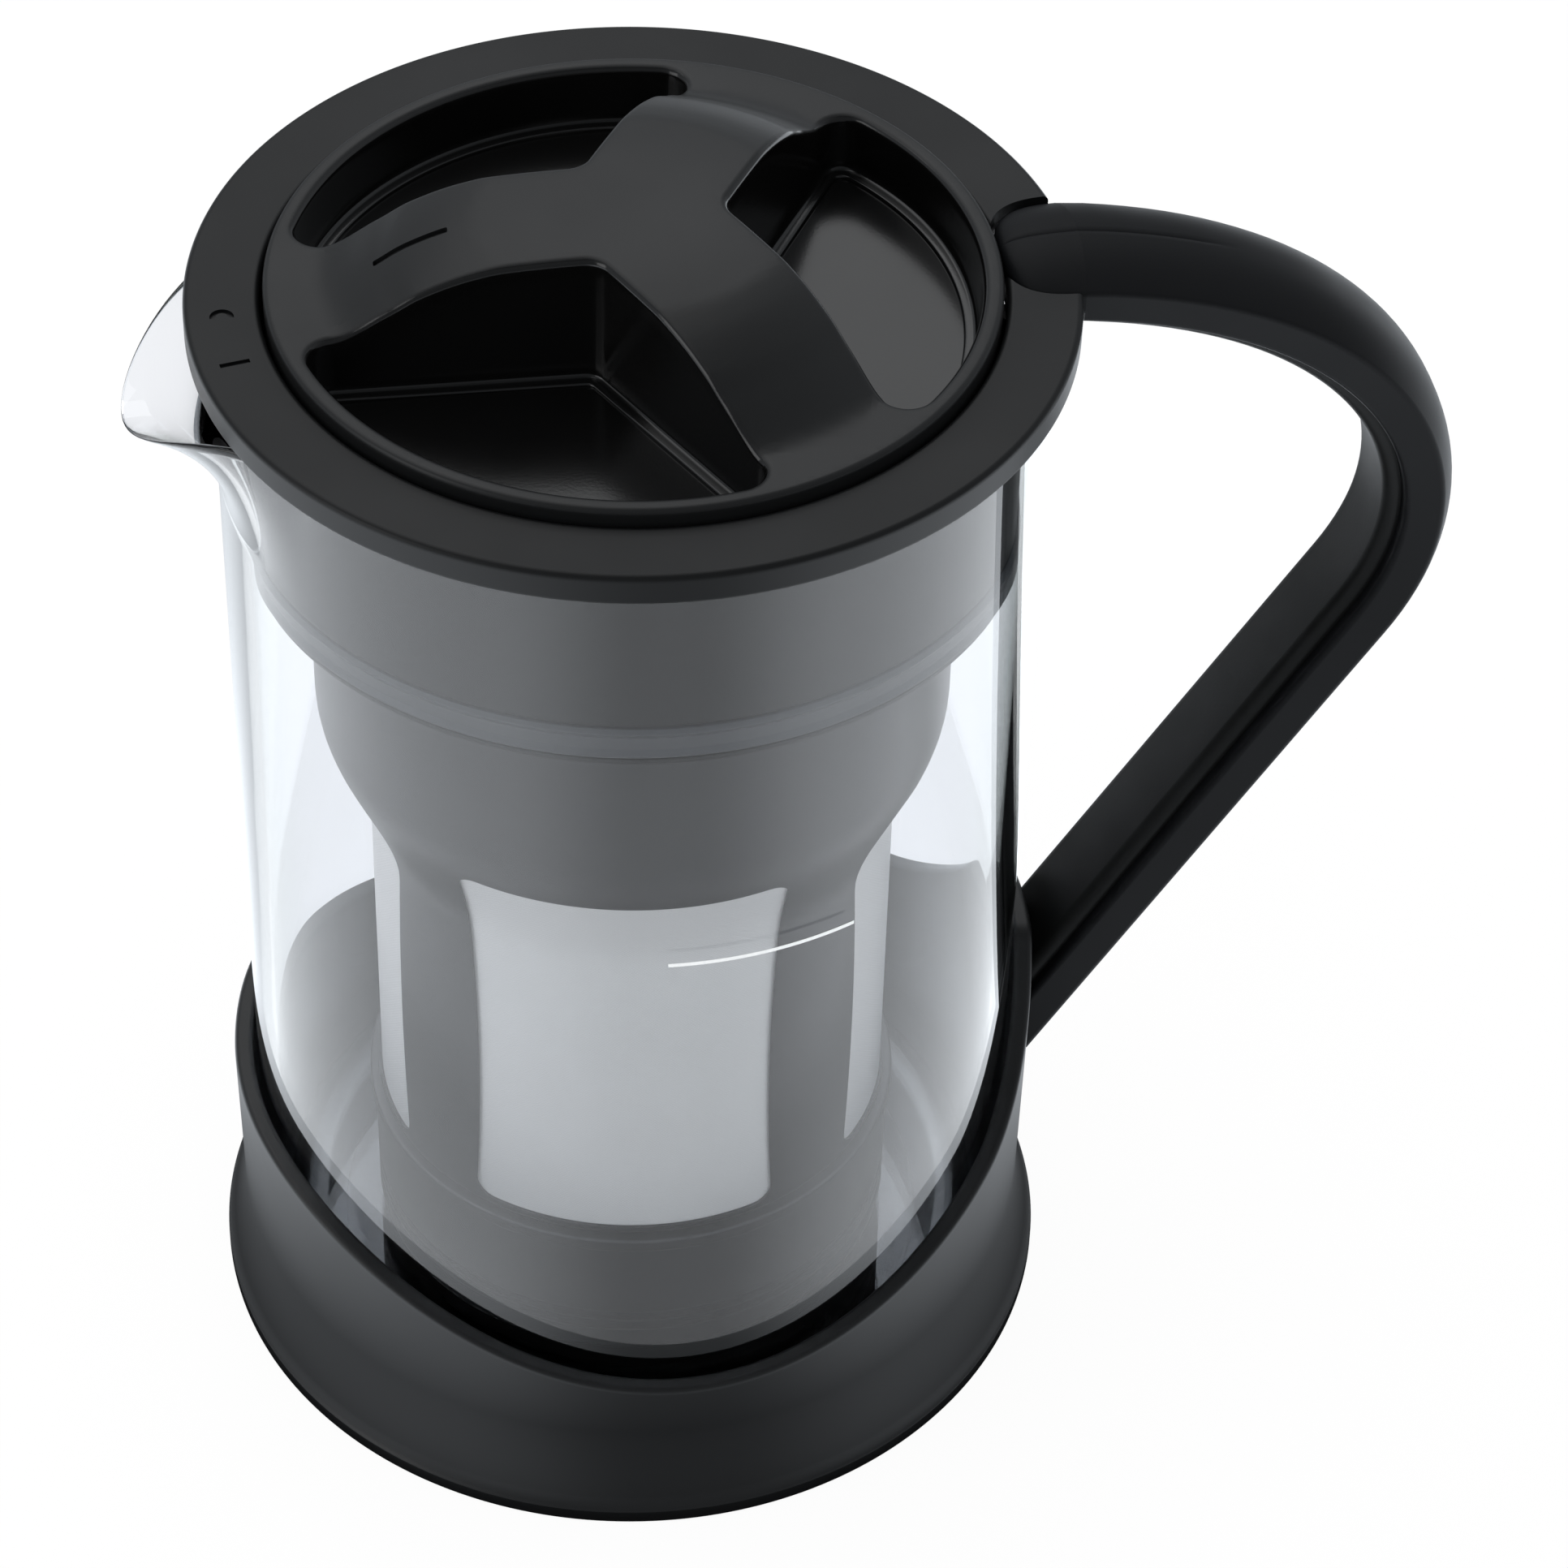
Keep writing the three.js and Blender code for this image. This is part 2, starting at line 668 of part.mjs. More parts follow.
function meshPanel(turn) {
  const outer = tubeRadius - meshRecess;
  const inner = outer - meshThickness;
  const outside = [[outer, tubeBottomZ], ...taper(meshRecess)];
  const inside = [[inner, tubeBottomZ], ...taper(meshRecess + meshThickness)];
  return solid(turned([...outside, ...inside.reverse()])).intersect(windowPrism(turn, seatGap));
}

function bottomCap() {
  const beadRadius = bottomCapRadius + bottomCapBead;
  const profile = [
    [0, bottomCapZ],
    [bottomCapRadius - bottomCapCorner, bottomCapZ],
    [bottomCapRadius, bottomCapZ + bottomCapCorner],
    [bottomCapRadius, bottomCapTopZ - lugHeight - bottomCapBead],
    [beadRadius, bottomCapTopZ - lugHeight],
    [beadRadius, bottomCapTopZ],
    [bottomCapInner, bottomCapTopZ],
    [bottomCapInner, bottomCapZ + bottomCapWall],
    [0, bottomCapZ + bottomCapWall],
  ];
  const low = lugTopZ + seatGap;
  const ledges = bayonetTurns.map((azimuth) =>
    sector(neckRadius + seatGap, bottomCapInner + seatGap, azimuth, ledgeTurn, low, low + lugHeight),
  );
  return solid(turned(profile)).add(joined(ledges));
}

function bottomCapSeal() {
  const high = tubeBottomZ - neckSealDrop;
  return solid(ring(neckRadius + seatGap, bottomCapInner - seatGap, high - neckSealHeight, high));
}

// The cap's outside, lowered by a depth
function dome(depth) {
  const top = capTopZ - depth;
  const crown = domeShares.map(([out, up]) => [out * capRadius, top + up * domeHeight]);
  return turned([
    [0, capBottomZ],
    [flangeRadius, capBottomZ],
    [flangeRadius, capLipZ],
    [capRadius, capLipZ],
    [capRadius, top - edgeRound],
    [capRadius - edgeRound, top],
    ...crown,
  ]);
}

// A finger pocket between two spokes, its middle on +X before it is turned
function pocket(azimuth) {
  const side = new THREE.Vector2(Math.cos(radians(pocketTurn)), Math.sin(radians(pocketTurn)));
  const apex = spokeHalfWidth / side.y;
  const along = apex * side.x;
  const reach = Math.sqrt(along ** 2 + pocketRadius ** 2 - apex ** 2) - along;
  const near = [apex + side.x * pocketCorner, side.y * pocketCorner];
  const corner = [apex + side.x * reach, side.y * reach];
  const early = [apex + side.x * (reach - pocketCorner), side.y * (reach - pocketCorner)];
  const cornerTurn = Math.atan2(corner[1], corner[0]);
  const past = cornerTurn - pocketCorner / pocketRadius;
  const onArc = [pocketRadius * Math.cos(past), pocketRadius * Math.sin(past)];
  const outline = new THREE.Shape();
  outline.moveTo(near[0], -near[1]);
  outline.lineTo(early[0], -early[1]);
  outline.quadraticCurveTo(corner[0], -corner[1], onArc[0], -onArc[1]);
  outline.absarc(0, 0, pocketRadius, -past, past, false);
  outline.quadraticCurveTo(corner[0], corner[1], early[0], early[1]);
  outline.lineTo(near[0], near[1]);
  outline.quadraticCurveTo(apex, 0, near[0], -near[1]);
  const well = solid(upright(outline, pocketFloorZ, capTopZ + domeHeight + overrun));
  const draft = turned([
    [0, pocketFloorZ],
    [pocketRadius - pocketFloorInset, pocketFloorZ],
    [pocketRadius, capTopZ],
    [pocketRadius, capTopZ + domeHeight + overrun],
    [0, capTopZ + domeHeight + overrun],
  ]);
  return well.intersect(solid(draft)).rotate([0, 0, azimuth]);
}

// A straight bar from one radius to another along an azimuth
function bar(near, far, halfWidth, azimuth, low, high) {
  const outline = new THREE.Shape();
  outline.moveTo(near, -halfWidth);
  outline.lineTo(far, -halfWidth);
  outline.lineTo(far, halfWidth);
  outline.lineTo(near, halfWidth);
  return solid(upright(outline, low, high).rotateZ(radians(azimuth)));
}

function capShell() {
  const high = capTopZ + domeHeight + overrun;
  const hollowReach = flangeRadius - capWall;
  const hollowArms = spokes.map((spoke) =>
    bar(0, hollowReach, spokeHalfWidth - capWall, spoke, capBottomZ - overrun, high),
  );
  const underDome = turned([
    [0, capBottomZ - overrun],
    [hollowReach, capBottomZ - overrun],
    [hollowReach, capTopZ - capWall],
    ...domeShares.map(([out, up]) => [out * capRadius, capTopZ - capWall + up * domeHeight]),
  ]);
  const hollow = joined(hollowArms).intersect(solid(underDome));
  const locks = spokes.map((spoke) =>
    sector(flangeRadius - capWall, flangeRadius + lockReach, spoke, lockTurn, capBottomZ, lockTopZ),
  );
  const grooveBar = bar(
    grooveStart, grooveStart + grooveLength, grooveWidth / 2, spokes[1], capBottomZ, high,
  );
  const groove = grooveBar.subtract(solid(dome(grooveDepth)));
  const blank = solid(dome(0)).add(joined(locks)).subtract(hollow).subtract(groove);
  return spokes.reduce((cap, spoke) => cap.subtract(pocket(spoke + pocketTurn)), blank);
}

const gasketGrooveZ = plugBottomZ + (plugThickness - gasketGrooveHeight) / 2;
const gasketGrooveRadius = plugRadius - gasketGrooveDepth;

function capPlug() {
  return solid(turned([
    [0, plugBottomZ],
    [plugRadius, plugBottomZ],
    [plugRadius, gasketGrooveZ],
    [gasketGrooveRadius, gasketGrooveZ],
    [gasketGrooveRadius, gasketGrooveZ + gasketGrooveHeight],
    [plugRadius, gasketGrooveZ + gasketGrooveHeight],
    [plugRadius, flangeTopZ],
    [0, flangeTopZ],
  ]));
}

function capGasket() {
  const low = gasketGrooveZ + seatGap;
  const high = gasketGrooveZ + gasketGrooveHeight - seatGap;
  return solid(ring(gasketGrooveRadius + seatGap, mouthRadius - seatGap, low, high));
}

add("base_cup", baseCup(), charcoal, 0.45);
add("glass_cushion_ring", glassCushionRing(), softBlack, 0.8);
add("glass_carafe", glassCarafe(), 0xe8f2ee, 0.03, { transparent: true, opacity: 0.3 });
add("handle_shell", handleShell(), handleBlack, 0.42);
add("handle_insert", handleInsert(), charcoal, 0.5);
["handle_screw_left", "handle_screw_right"].forEach((name, i) =>
  add(name, handleScrew(screwPlaces[i]), 0xb9bcc0, 0.3, { metalness: 1 }),
);
add("lid_collar", lidCollar(), charcoal, 0.45);
add("collar_seal", collarSeal(), 0x55575a, 0.7);
add("core_seal", coreSeal(), softBlack, 0.8);
add("filter_body", filterBody(), charcoal, 0.45);
windowTurns.forEach((turn, i) =>
  add("mesh_panel_" + (i + 1), meshPanel(turn), 0xc4c6c8, 0.35, { metalness: 0.9 }),
);
add("bottom_cap_seal", bottomCapSeal(), softBlack, 0.8);
add("bottom_cap", bottomCap(), charcoal, 0.45);
add("cap_shell", capShell(), charcoal, 0.35);
add("cap_plug", capPlug(), charcoal, 0.5);
add("cap_gasket", capGasket(), softBlack, 0.8);

export default root;
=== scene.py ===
from math import atan2, ceil, cos, degrees, hypot, pi, radians, sin, sqrt, tan

import bmesh
import bpy
from mathutils import Matrix, Vector


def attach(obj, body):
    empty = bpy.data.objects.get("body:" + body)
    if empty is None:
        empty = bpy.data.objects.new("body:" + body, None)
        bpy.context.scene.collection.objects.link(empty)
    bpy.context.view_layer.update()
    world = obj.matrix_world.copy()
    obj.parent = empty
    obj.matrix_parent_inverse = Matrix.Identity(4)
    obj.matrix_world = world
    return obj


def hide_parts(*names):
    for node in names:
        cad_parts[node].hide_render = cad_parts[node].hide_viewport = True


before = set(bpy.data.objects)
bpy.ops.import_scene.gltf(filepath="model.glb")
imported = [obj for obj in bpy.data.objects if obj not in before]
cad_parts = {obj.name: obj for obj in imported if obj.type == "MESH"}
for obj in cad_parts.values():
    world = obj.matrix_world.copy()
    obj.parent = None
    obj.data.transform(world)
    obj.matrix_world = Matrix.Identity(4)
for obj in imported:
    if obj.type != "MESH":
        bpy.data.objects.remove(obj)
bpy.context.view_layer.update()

mm = 0.001
weldDistance = 0.004  # mm
sharpAngle = 38  # degrees between faces from which an edge is drawn crisp
print("frame loaded,", len(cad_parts), "nodes")


# sRGB hex to the linear colour that a socket takes
def linear(code):
    parts = [int(code[i:i + 2], 16) / 255 for i in (1, 3, 5)]
    return [p / 12.92 if p <= 0.04045 else ((p + 0.055) / 1.055) ** 2.4 for p in parts] + [1]


# Adds a node. Among the inputs a socket is linked, a node stands for its first live output, and
# anything else is set.
def addNode(tree, kind, inputs=None, **settings):
    node = tree.nodes.new("ShaderNode" + kind)
    for key, value in settings.items():
        setattr(node, key, value)
    for key, value in (inputs or {}).items():
        if isinstance(value, bpy.types.Node):
            value = next(socket for socket in value.outputs if socket.enabled)
        if isinstance(value, bpy.types.NodeSocket):
            tree.links.new(value, node.inputs[key])
        else:
            node.inputs[key].default_value = value
    return node


# Puts a mesh, light or camera in the scene
def placed(name, data):
    made = bpy.data.objects.new(name, data)
    bpy.context.scene.collection.objects.link(made)
    return made


# An empty material, its nodes and the place on the object that its patterns are drawn from
def newMaterial(name):
    material = bpy.data.materials.new(name)
    material.use_nodes = True
    tree = material.node_tree
    tree.nodes.clear()
    return material, tree, addNode(tree, "TexCoord").outputs["Object"]


# Injection-moulded plastic or silicone: a fine moulded grain, and slow changes of gloss where the
# surface has been handled and where the melt has flowed
def mouldedSurface(name, look):
    material, tree, place = newMaterial(name)
    grain = addNode(tree, "TexNoise", {
        "Vector": place, "Scale": 1 / (look["grain"] * mm), "Detail": 2.0, "Roughness": 0.6,
    })
    drift = addNode(tree, "TexNoise", {
        "Vector": place, "Scale": 1 / (look["drift"] * mm), "Detail": 3.0, "Roughness": 0.5,
    })
    gloss = addNode(tree, "MapRange", {
        "Value": drift, "From Min": 0.3, "From Max": 0.7,
        "To Min": look["roughness"] - look["spread"], "To Max": look["roughness"] + look["spread"],
    })
    shade = addNode(tree, "Mix", {
        "Factor": drift, 6: linear(look["colour"]), 7: linear(look["worn"]),
    }, data_type="RGBA")
    bump = addNode(tree, "Bump", {
        "Height": grain, "Strength": look["relief"], "Distance": look["grain"] * mm,
    })
    surface = addNode(tree, "BsdfPrincipled", {
        "Base Color": shade, "Roughness": gloss,
        "IOR": look["ior"], "Specular IOR Level": look["specular"], "Normal": bump,
    })
    addNode(tree, "OutputMaterial", {"Surface": surface})
    return material


# Columns of the table below: the two colours that the surface drifts between, the roughness and its
# drift, the IOR, the specular level, the grain's width in mm, how strongly it shows, and the spacing
# of the drift in mm. Grains are drawn 0.25 to 0.5 mm wide where the real ones are 0.1 to 0.2 mm and
# too fine to show.
lookColumns = (
    "colour", "worn", "roughness", "spread", "ior", "specular", "grain", "relief", "drift",
)
surfaceLooks = {
    # satin polypropylene, moulded against an etched tool: near black, with a soft wide sheen
    "satinPolypropylene": ("#08090a", "#0c0d0e", 0.42, 0.04, 1.49, 0.27, 0.25, 0.0, 30),
    # the same plastic on the cup under the glass, with a stronger sheen on its upright wall
    "sheenPolypropylene": ("#090a0b", "#0d0e10", 0.44, 0.04, 1.49, 0.5, 0.25, 0.01, 30),
    # the same plastic on the cap, etched a little finer and so a touch brighter
    "etchedPolypropylene": ("#0e0f10", "#121314", 0.4, 0.04, 1.49, 0.35, 0.25, 0.012, 30),
    # the same plastic where the tool was polished, in the cap's pockets: it mirrors its surroundings
    # softly, and its darker colour is painted shade for the deep pockets
    "polishedPolypropyleneWithPaintedShade": ("#050505", "#070707", 0.17, 0.02, 1.49, 0.5, 0.5, 0.02, 20),
    # soft-touch coated handle: slightly blue black and silkier than the cup
    "softTouchHandle": ("#0d0e10", "#121315", 0.47, 0.05, 1.48, 0.11, 0.25, 0.04, 22),
    # rubbery grip pad: a little greyer and duller than the shell round it
    "elastomerGrip": ("#0c0d0d", "#101111", 0.48, 0.05, 1.5, 0.16, 0.3, 0.05, 18),
    # plastic of the parts in the coffee: satin, a little smoother so that it wipes clean
    "foodGradePolypropylene": ("#161718", "#1a1b1c", 0.36, 0.03, 1.49, 0.45, 0.25, 0.03, 26),
    # grey translucent-looking seal silicone: soft sheen on its fins
    "sealSilicone": ("#46484a", "#505254", 0.38, 0.05, 1.41, 0.5, 0.5, 0.05, 15),
    # black silicone of the hidden washers and rings: matt
    "blackSilicone": ("#121212", "#171717", 0.6, 0.05, 1.41, 0.4, 0.4, 0.15, 12),
}
surfaces = {
    name: mouldedSurface(name, dict(zip(lookColumns, look))) for name, look in surfaceLooks.items()
}


# Blown borosilicate glass: clear and faintly blue, tinted green by its depth, and painted grey green
# where it is seen edge-on, as at the rim and at the sides: painted shade for the light that runs far
# inside it there
def blownGlass():
    look = {
        "clear": "#f8fafe", "edge": "#dde6e4", "edgeFrom": 0.6, "edgeTo": 0.95, "deep": "#bcd9d2",
        "density": 5.0, "waves": 25, "waveHeight": 0.2, "relief": 0.06,
    }
    material, tree, place = newMaterial("blownBorosilicateGlass")
    waves = addNode(tree, "TexNoise", {"Vector": place, "Scale": 1 / (look["waves"] * mm), "Detail": 1.0})
    bump = addNode(tree, "Bump", {
        "Height": waves, "Strength": look["relief"], "Distance": look["waveHeight"] * mm,
    })
    # Painted shade: the colour turns grey green where the glass is seen edge-on, at the rim and at the
    # sides
    facing = addNode(tree, "LayerWeight", {"Blend": 0.5})
    edge = addNode(tree, "MapRange", {
        "Value": facing.outputs["Facing"], "From Min": look["edgeFrom"], "From Max": look["edgeTo"],
    }, interpolation_type="SMOOTHSTEP")
    clearWithPaintedEdgeShade = addNode(tree, "Mix", {
        "Factor": edge, 6: linear(look["clear"]), 7: linear(look["edge"]),
    }, data_type="RGBA")
    surface = addNode(tree, "BsdfPrincipled", {
        "Base Color": clearWithPaintedEdgeShade, "Roughness": 0.0, "IOR": 1.5, "Transmission Weight": 1.0,
        "Normal": bump,
    })
    depth = addNode(tree, "VolumeAbsorption", {"Color": linear(look["deep"]), "Density": look["density"]})
    addNode(tree, "OutputMaterial", {"Surface": surface, "Volume": depth})
    return material


# Ceramic ink, screen-printed on the glass and fired: flat white with slightly uneven cover
def printedInk():
    look = {"thin": "#e4e8ea", "full": "#f4f6f7", "patch": 0.5, "roughness": 0.5}
    material, tree, place = newMaterial("firedWhiteInk")
    cover = addNode(tree, "TexNoise", {"Vector": place, "Scale": 1 / (look["patch"] * mm), "Detail": 1.0})
    shade = addNode(tree, "Mix", {
        "Factor": cover, 6: linear(look["thin"]), 7: linear(look["full"]),
    }, data_type="RGBA")
    surface = addNode(tree, "BsdfPrincipled", {"Base Color": shade, "Roughness": look["roughness"]})
    addNode(tree, "OutputMaterial", {"Surface": surface})
    return material


# Woven stainless steel mesh: pale satin metal with a fine even weave that follows the tube, and a painted
# sheen that lightens it where it is seen edge-on. The real wires are about 0.1 mm apart and too fine to
# show, so the weave is drawn 0.5 mm apart.
def wovenMesh():
    look = {
        "pitch": 0.5, "radius": 37.2, "light": "#f2f1ed", "dark": "#dfdcd7", "edge": "#f4f2ee",
        "roughness": 0.5, "metal": 0.2, "sheen": 0.3, "edgeFrom": 0.45, "edgeTo": 0.8, "cloud": 18,
        "relief": 0.3, "wire": 0.1,
    }
    material, tree, place = newMaterial("wovenStainlessSteelMesh")
    axes = addNode(tree, "SeparateXYZ", {"Vector": place})
    turn = addNode(tree, "Math", {0: axes.outputs["Y"], 1: axes.outputs["X"]}, operation="ARCTAN2")
    waves = []
    for value, rate in (
        (turn, 2 * pi * look["radius"] / look["pitch"]),
        (axes.outputs["Z"], 2 * pi / (look["pitch"] * mm)),
    ):
        phase = addNode(tree, "Math", {0: value, 1: rate}, operation="MULTIPLY")
        wave = addNode(tree, "Math", {0: phase}, operation="SINE")
        waves.append(wave)
    weave = addNode(tree, "Math", {0: waves[0], 1: waves[1]}, operation="MULTIPLY")
    height = addNode(tree, "MapRange", {"Value": weave, "From Min": -1.0, "From Max": 1.0})
    cloud = addNode(tree, "TexNoise", {"Vector": place, "Scale": 1 / (look["cloud"] * mm), "Detail": 4.0})
    mixed = addNode(tree, "Math", {0: height, 1: cloud}, operation="MULTIPLY")
    shade = addNode(tree, "Mix", {
        "Factor": mixed, 6: linear(look["light"]), 7: linear(look["dark"]),
    }, data_type="RGBA")
    bump = addNode(tree, "Bump", {
        "Height": height, "Strength": look["relief"], "Distance": look["wire"] * mm,
    })
    # Painted sheen: the colour turns almost white where the mesh is seen edge-on, as at the tube's sides
    facing = addNode(tree, "LayerWeight", {"Blend": 0.5})
    paintedSheenMask = addNode(tree, "MapRange", {
        "Value": facing.outputs["Facing"], "From Min": look["edgeFrom"], "From Max": look["edgeTo"],
    })
    sheen = addNode(tree, "Mix", {
        "Factor": paintedSheenMask, 6: shade, 7: linear(look["edge"]),
    }, data_type="RGBA")
    surface = addNode(tree, "BsdfPrincipled", {
        "Base Color": sheen, "Metallic": look["metal"], "Roughness": look["roughness"],
        "Sheen Weight": look["sheen"], "Normal": bump,
    })
    addNode(tree, "OutputMaterial", {"Surface": surface})
    return material


# Turned stainless steel of the screws: fine turning lines across the head
def turnedSteel():
    look = {"colour": "#b9bbbe", "line": 0.3, "smooth": 0.22, "rough": 0.4}
    material, tree, place = newMaterial("turnedStainlessSteel")
    lines = addNode(tree, "TexNoise", {"Vector": place, "Scale": 1 / (look["line"] * mm), "Detail": 2.0})
    gloss = addNode(tree, "MapRange", {
        "Value": lines, "To Min": look["smooth"], "To Max": look["rough"],
    })
    surface = addNode(tree, "BsdfPrincipled", {
        "Base Color": linear(look["colour"]), "Metallic": 1.0, "Roughness": gloss,
    })
    addNode(tree, "OutputMaterial", {"Surface": surface})
    return material


surfaces["glass"] = blownGlass()
surfaces["ink"] = printedInk()
surfaces["mesh"] = wovenMesh()
surfaces["steel"] = turnedSteel()
print("materials made:", len(surfaces))


# Even steps from 0 to 1
def shares(steps):
    return [k / steps for k in range(steps + 1)]


# Rounds the corners of a profile. A corner is (x, y) or (x, y, radius). Short straights on both
# sides of each rounding keep the shading of the long faces flat.
def filleted(corners, closed=True, steps=5, guard=0.15):
    points = []
    count = len(corners)
    for i, corner in enumerate(corners):
        here = Vector(corner[:2])
        radius = corner[2] if len(corner) > 2 else 0
        if not radius or (not closed and i in (0, count - 1)):
            points.append(here)
            continue
        before = (Vector(corners[i - 1][:2]) - here).normalized()
        after = (Vector(corners[(i + 1) % count][:2]) - here).normalized()
        half = before.angle(after) / 2
        reach = radius / tan(half)
        middle = here + (before + after).normalized() * radius / sin(half)
        start = here + before * reach - middle
        sweep = pi - 2 * half
        if before.cross(after) > 0:
            sweep = -sweep
        points.append(here + before * (reach + guard))
        points += [middle + Matrix.Rotation(sweep * k / steps, 2) @ start for k in range(steps + 1)]
        points.append(here + after * (reach + guard))
    return points


# Turns a profile of (radius, height) points round Z. A full turn closes on itself; part of a turn
# starts at an azimuth and gets flat ends. An open profile starts and ends on the axis.
def spun(profile, steps=240, closed=True, start=0, turn=360):
    bm = bmesh.new()
    verts = [bm.verts.new((point[0], 0, point[1])) for point in profile]
    edges = [bm.edges.new(pair) for pair in zip(verts, verts[1:])]
    if closed:
        edges.append(bm.edges.new((verts[-1], verts[0])))
    bmesh.ops.rotate(bm, verts=verts, cent=(0, 0, 0), matrix=Matrix.Rotation(radians(start), 3, "Z"))
    if turn < 360:
        bmesh.ops.contextual_create(bm, geom=edges)
    made = bmesh.ops.spin(
        bm, geom=verts + edges, cent=(0, 0, 0), axis=(0, 0, 1), angle=radians(turn), steps=steps,
        use_merge=turn == 360, use_duplicate=False,
    )["geom_last"]
    if turn < 360:
        bmesh.ops.contextual_create(bm, geom=[e for e in made if isinstance(e, bmesh.types.BMEdge)])
    return bm


# roundings of moulded corners
crisp, slight, soft, full = 0.2, 0.3, 0.4, 0.5


# An outline in the XY plane as a prism from low to high
def prism(outline, low, high):
    bm = bmesh.new()
    verts = [bm.verts.new((x, y, low)) for x, y in outline]
    face = bm.faces.new(verts)
    made = bmesh.ops.extrude_face_region(bm, geom=[face])["geom"]
    raised = [v for v in made if isinstance(v, bmesh.types.BMVert)]
    bmesh.ops.translate(bm, verts=raised, vec=(0, 0, high - low))
    bmesh.ops.recalc_face_normals(bm, faces=bm.faces)
    return bm


# Joins, cuts or intersects two closed shapes exactly
def combined(bm, tool, operation):
    objects = []
    for label, shape in (("body", bm), ("tool", tool)):
        bmesh.ops.remove_doubles(shape, verts=shape.verts, dist=weldDistance)
        bmesh.ops.recalc_face_normals(shape, faces=shape.faces)
        mesh = bpy.data.meshes.new(label)
        shape.to_mesh(mesh)
        shape.free()
        objects.append(placed(label, mesh))
    body, cutter = objects
    modifier = body.modifiers.new("cut", "BOOLEAN")
    modifier.operation = operation
    modifier.solver = "EXACT"
    modifier.object = cutter
    result = bmesh.new()
    result.from_object(body, bpy.context.evaluated_depsgraph_get())
    for made in objects:
        bpy.data.meshes.remove(made.data)
    return result


# A closed band whose rings of points are given: a grid, rolled up and welded
def rolled(rings):
    around, along = len(rings[0]), len(rings) - 1
    bm = bmesh.new()
    bmesh.ops.create_grid(bm, x_segments=around, y_segments=along, size=0.5)
    for vert in bm.verts:
        i = round((vert.co.x + 0.5) * around) % around
        j = round((vert.co.y + 0.5) * along)
        vert.co = rings[j][i]
    bmesh.ops.remove_doubles(bm, verts=bm.verts, dist=weldDistance)
    bmesh.ops.holes_fill(bm, edges=[e for e in bm.edges if e.is_boundary], sides=0)
    return bm


# Turns a finished shape into a piece that rides on a body and stands for CAD nodes
def finishPiece(bm, name, material, body, nodes, second=None):
    bmesh.ops.remove_doubles(bm, verts=bm.verts, dist=weldDistance)
    bmesh.ops.dissolve_degenerate(bm, edges=bm.edges, dist=weldDistance / 2)
    bmesh.ops.recalc_face_normals(bm, faces=bm.faces)
    bmesh.ops.scale(bm, vec=(mm, mm, mm), verts=bm.verts)
    for face in bm.faces:
        face.smooth = True
    for edge in bm.edges:
        edge.smooth = edge.is_manifold and edge.calc_face_angle(0) < radians(sharpAngle)
    openEdges = sum(not edge.is_manifold for edge in bm.edges)
    mesh = bpy.data.meshes.new(name)
    bm.to_mesh(mesh)
    bm.free()
    mesh.materials.append(surfaces[material])
    if second:
        mesh.materials.append(surfaces[second])
    piece = placed(name, mesh)
    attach(piece, body)
    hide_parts(*nodes)
    print("  ", name, len(mesh.polygons), "faces,", openEdges, "open edges")


# Jug, in the cup

glass = {
    "radius": 56, "wall": 2.5, "low": 5.3, "floor": 9.3, "rim": 176.3, "corner": 9,
    "spoutReach": 12.8, "spoutDroop": 9, "spoutHeight": 22, "spoutSpread": 30, "crowding": 0.3,
    "rings": 20, "ringStep": 1.05, "rimRound": 1.225,
    "drawn": 0.9,  # how much thinner the wall is at the spout's edge
}


def jugGlass():
    inner = glass["radius"] - glass["wall"]
    flare = glass["rim"] - glass["spoutHeight"]
    outside = [(glass["radius"], flare + k * glass["ringStep"]) for k in range(glass["rings"])]
    inside = [(inner, z) for _, z in reversed(outside)]
    corners = [
        (0, glass["low"]), (glass["radius"], glass["low"], glass["corner"]), *outside,
        (glass["radius"], glass["rim"], glass["rimRound"]), (inner, glass["rim"], glass["rimRound"]),
        *inside, (inner, glass["floor"], glass["corner"] - glass["wall"]), (0, glass["floor"]),
    ]
    bm = spun(filleted(corners, closed=False, steps=8), steps=200, closed=False)
    for vert in bm.verts:
        radius, azimuth = hypot(vert.co.x, vert.co.y), atan2(vert.co.y, vert.co.x)
        azimuth += glass["crowding"] * sin(azimuth)
        fromTip = (pi - abs(azimuth)) / radians(glass["spoutSpread"])
        up = max(vert.co.z - flare, 0) / glass["spoutHeight"]
        toTip = cos(min(fromTip, 1) * pi / 2)
        push = (toTip * up) ** 2
        inward = max(glass["radius"] - radius, 0) / glass["wall"]
        if radius > 1:
            radius += glass["spoutReach"] * push + glass["drawn"] * inward * toTip * up
        height = vert.co.z - glass["spoutDroop"] * push * toTip ** 2
        vert.co = (radius * cos(azimuth), radius * sin(azimuth), height)
    finishPiece(bm, "jugGlass", "glass", "jug", ["glass_carafe"])


fillLine = {"z": 110, "width": 0.6, "thickness": 0.05, "gap": 0.02, "from": -94.2, "to": -67}


def printedLine():
    near = glass["radius"] + fillLine["gap"]
    low, high = fillLine["z"] - fillLine["width"] / 2, fillLine["z"] + fillLine["width"] / 2
    far = near + fillLine["thickness"]
    profile = [(near, low), (far, low), (far, high), (near, high)]
    turn = fillLine["to"] - fillLine["from"]
    bm = spun(profile, steps=40, start=fillLine["from"], turn=turn)
    finishPiece(bm, "fillLine", "ink", "jug", [])


cup = {
    "floor": 3.4, "inner": 56.6, "radius": 59.4, "waist": 59.0, "waistZ": 17, "foot": 62.2,
    "lip": 2.6, "groove": 0.5, "rim": 26.3, "rise": 15.7, "wave": 1.2, "edge": 0.8,
    "lipEdge": 0.3, "floorEdge": 1.2, "flareSteps": 8,
    "saddle": 60, "saddleTurn": 8, "saddleSpread": 36, "saddleShare": 1.8,
}


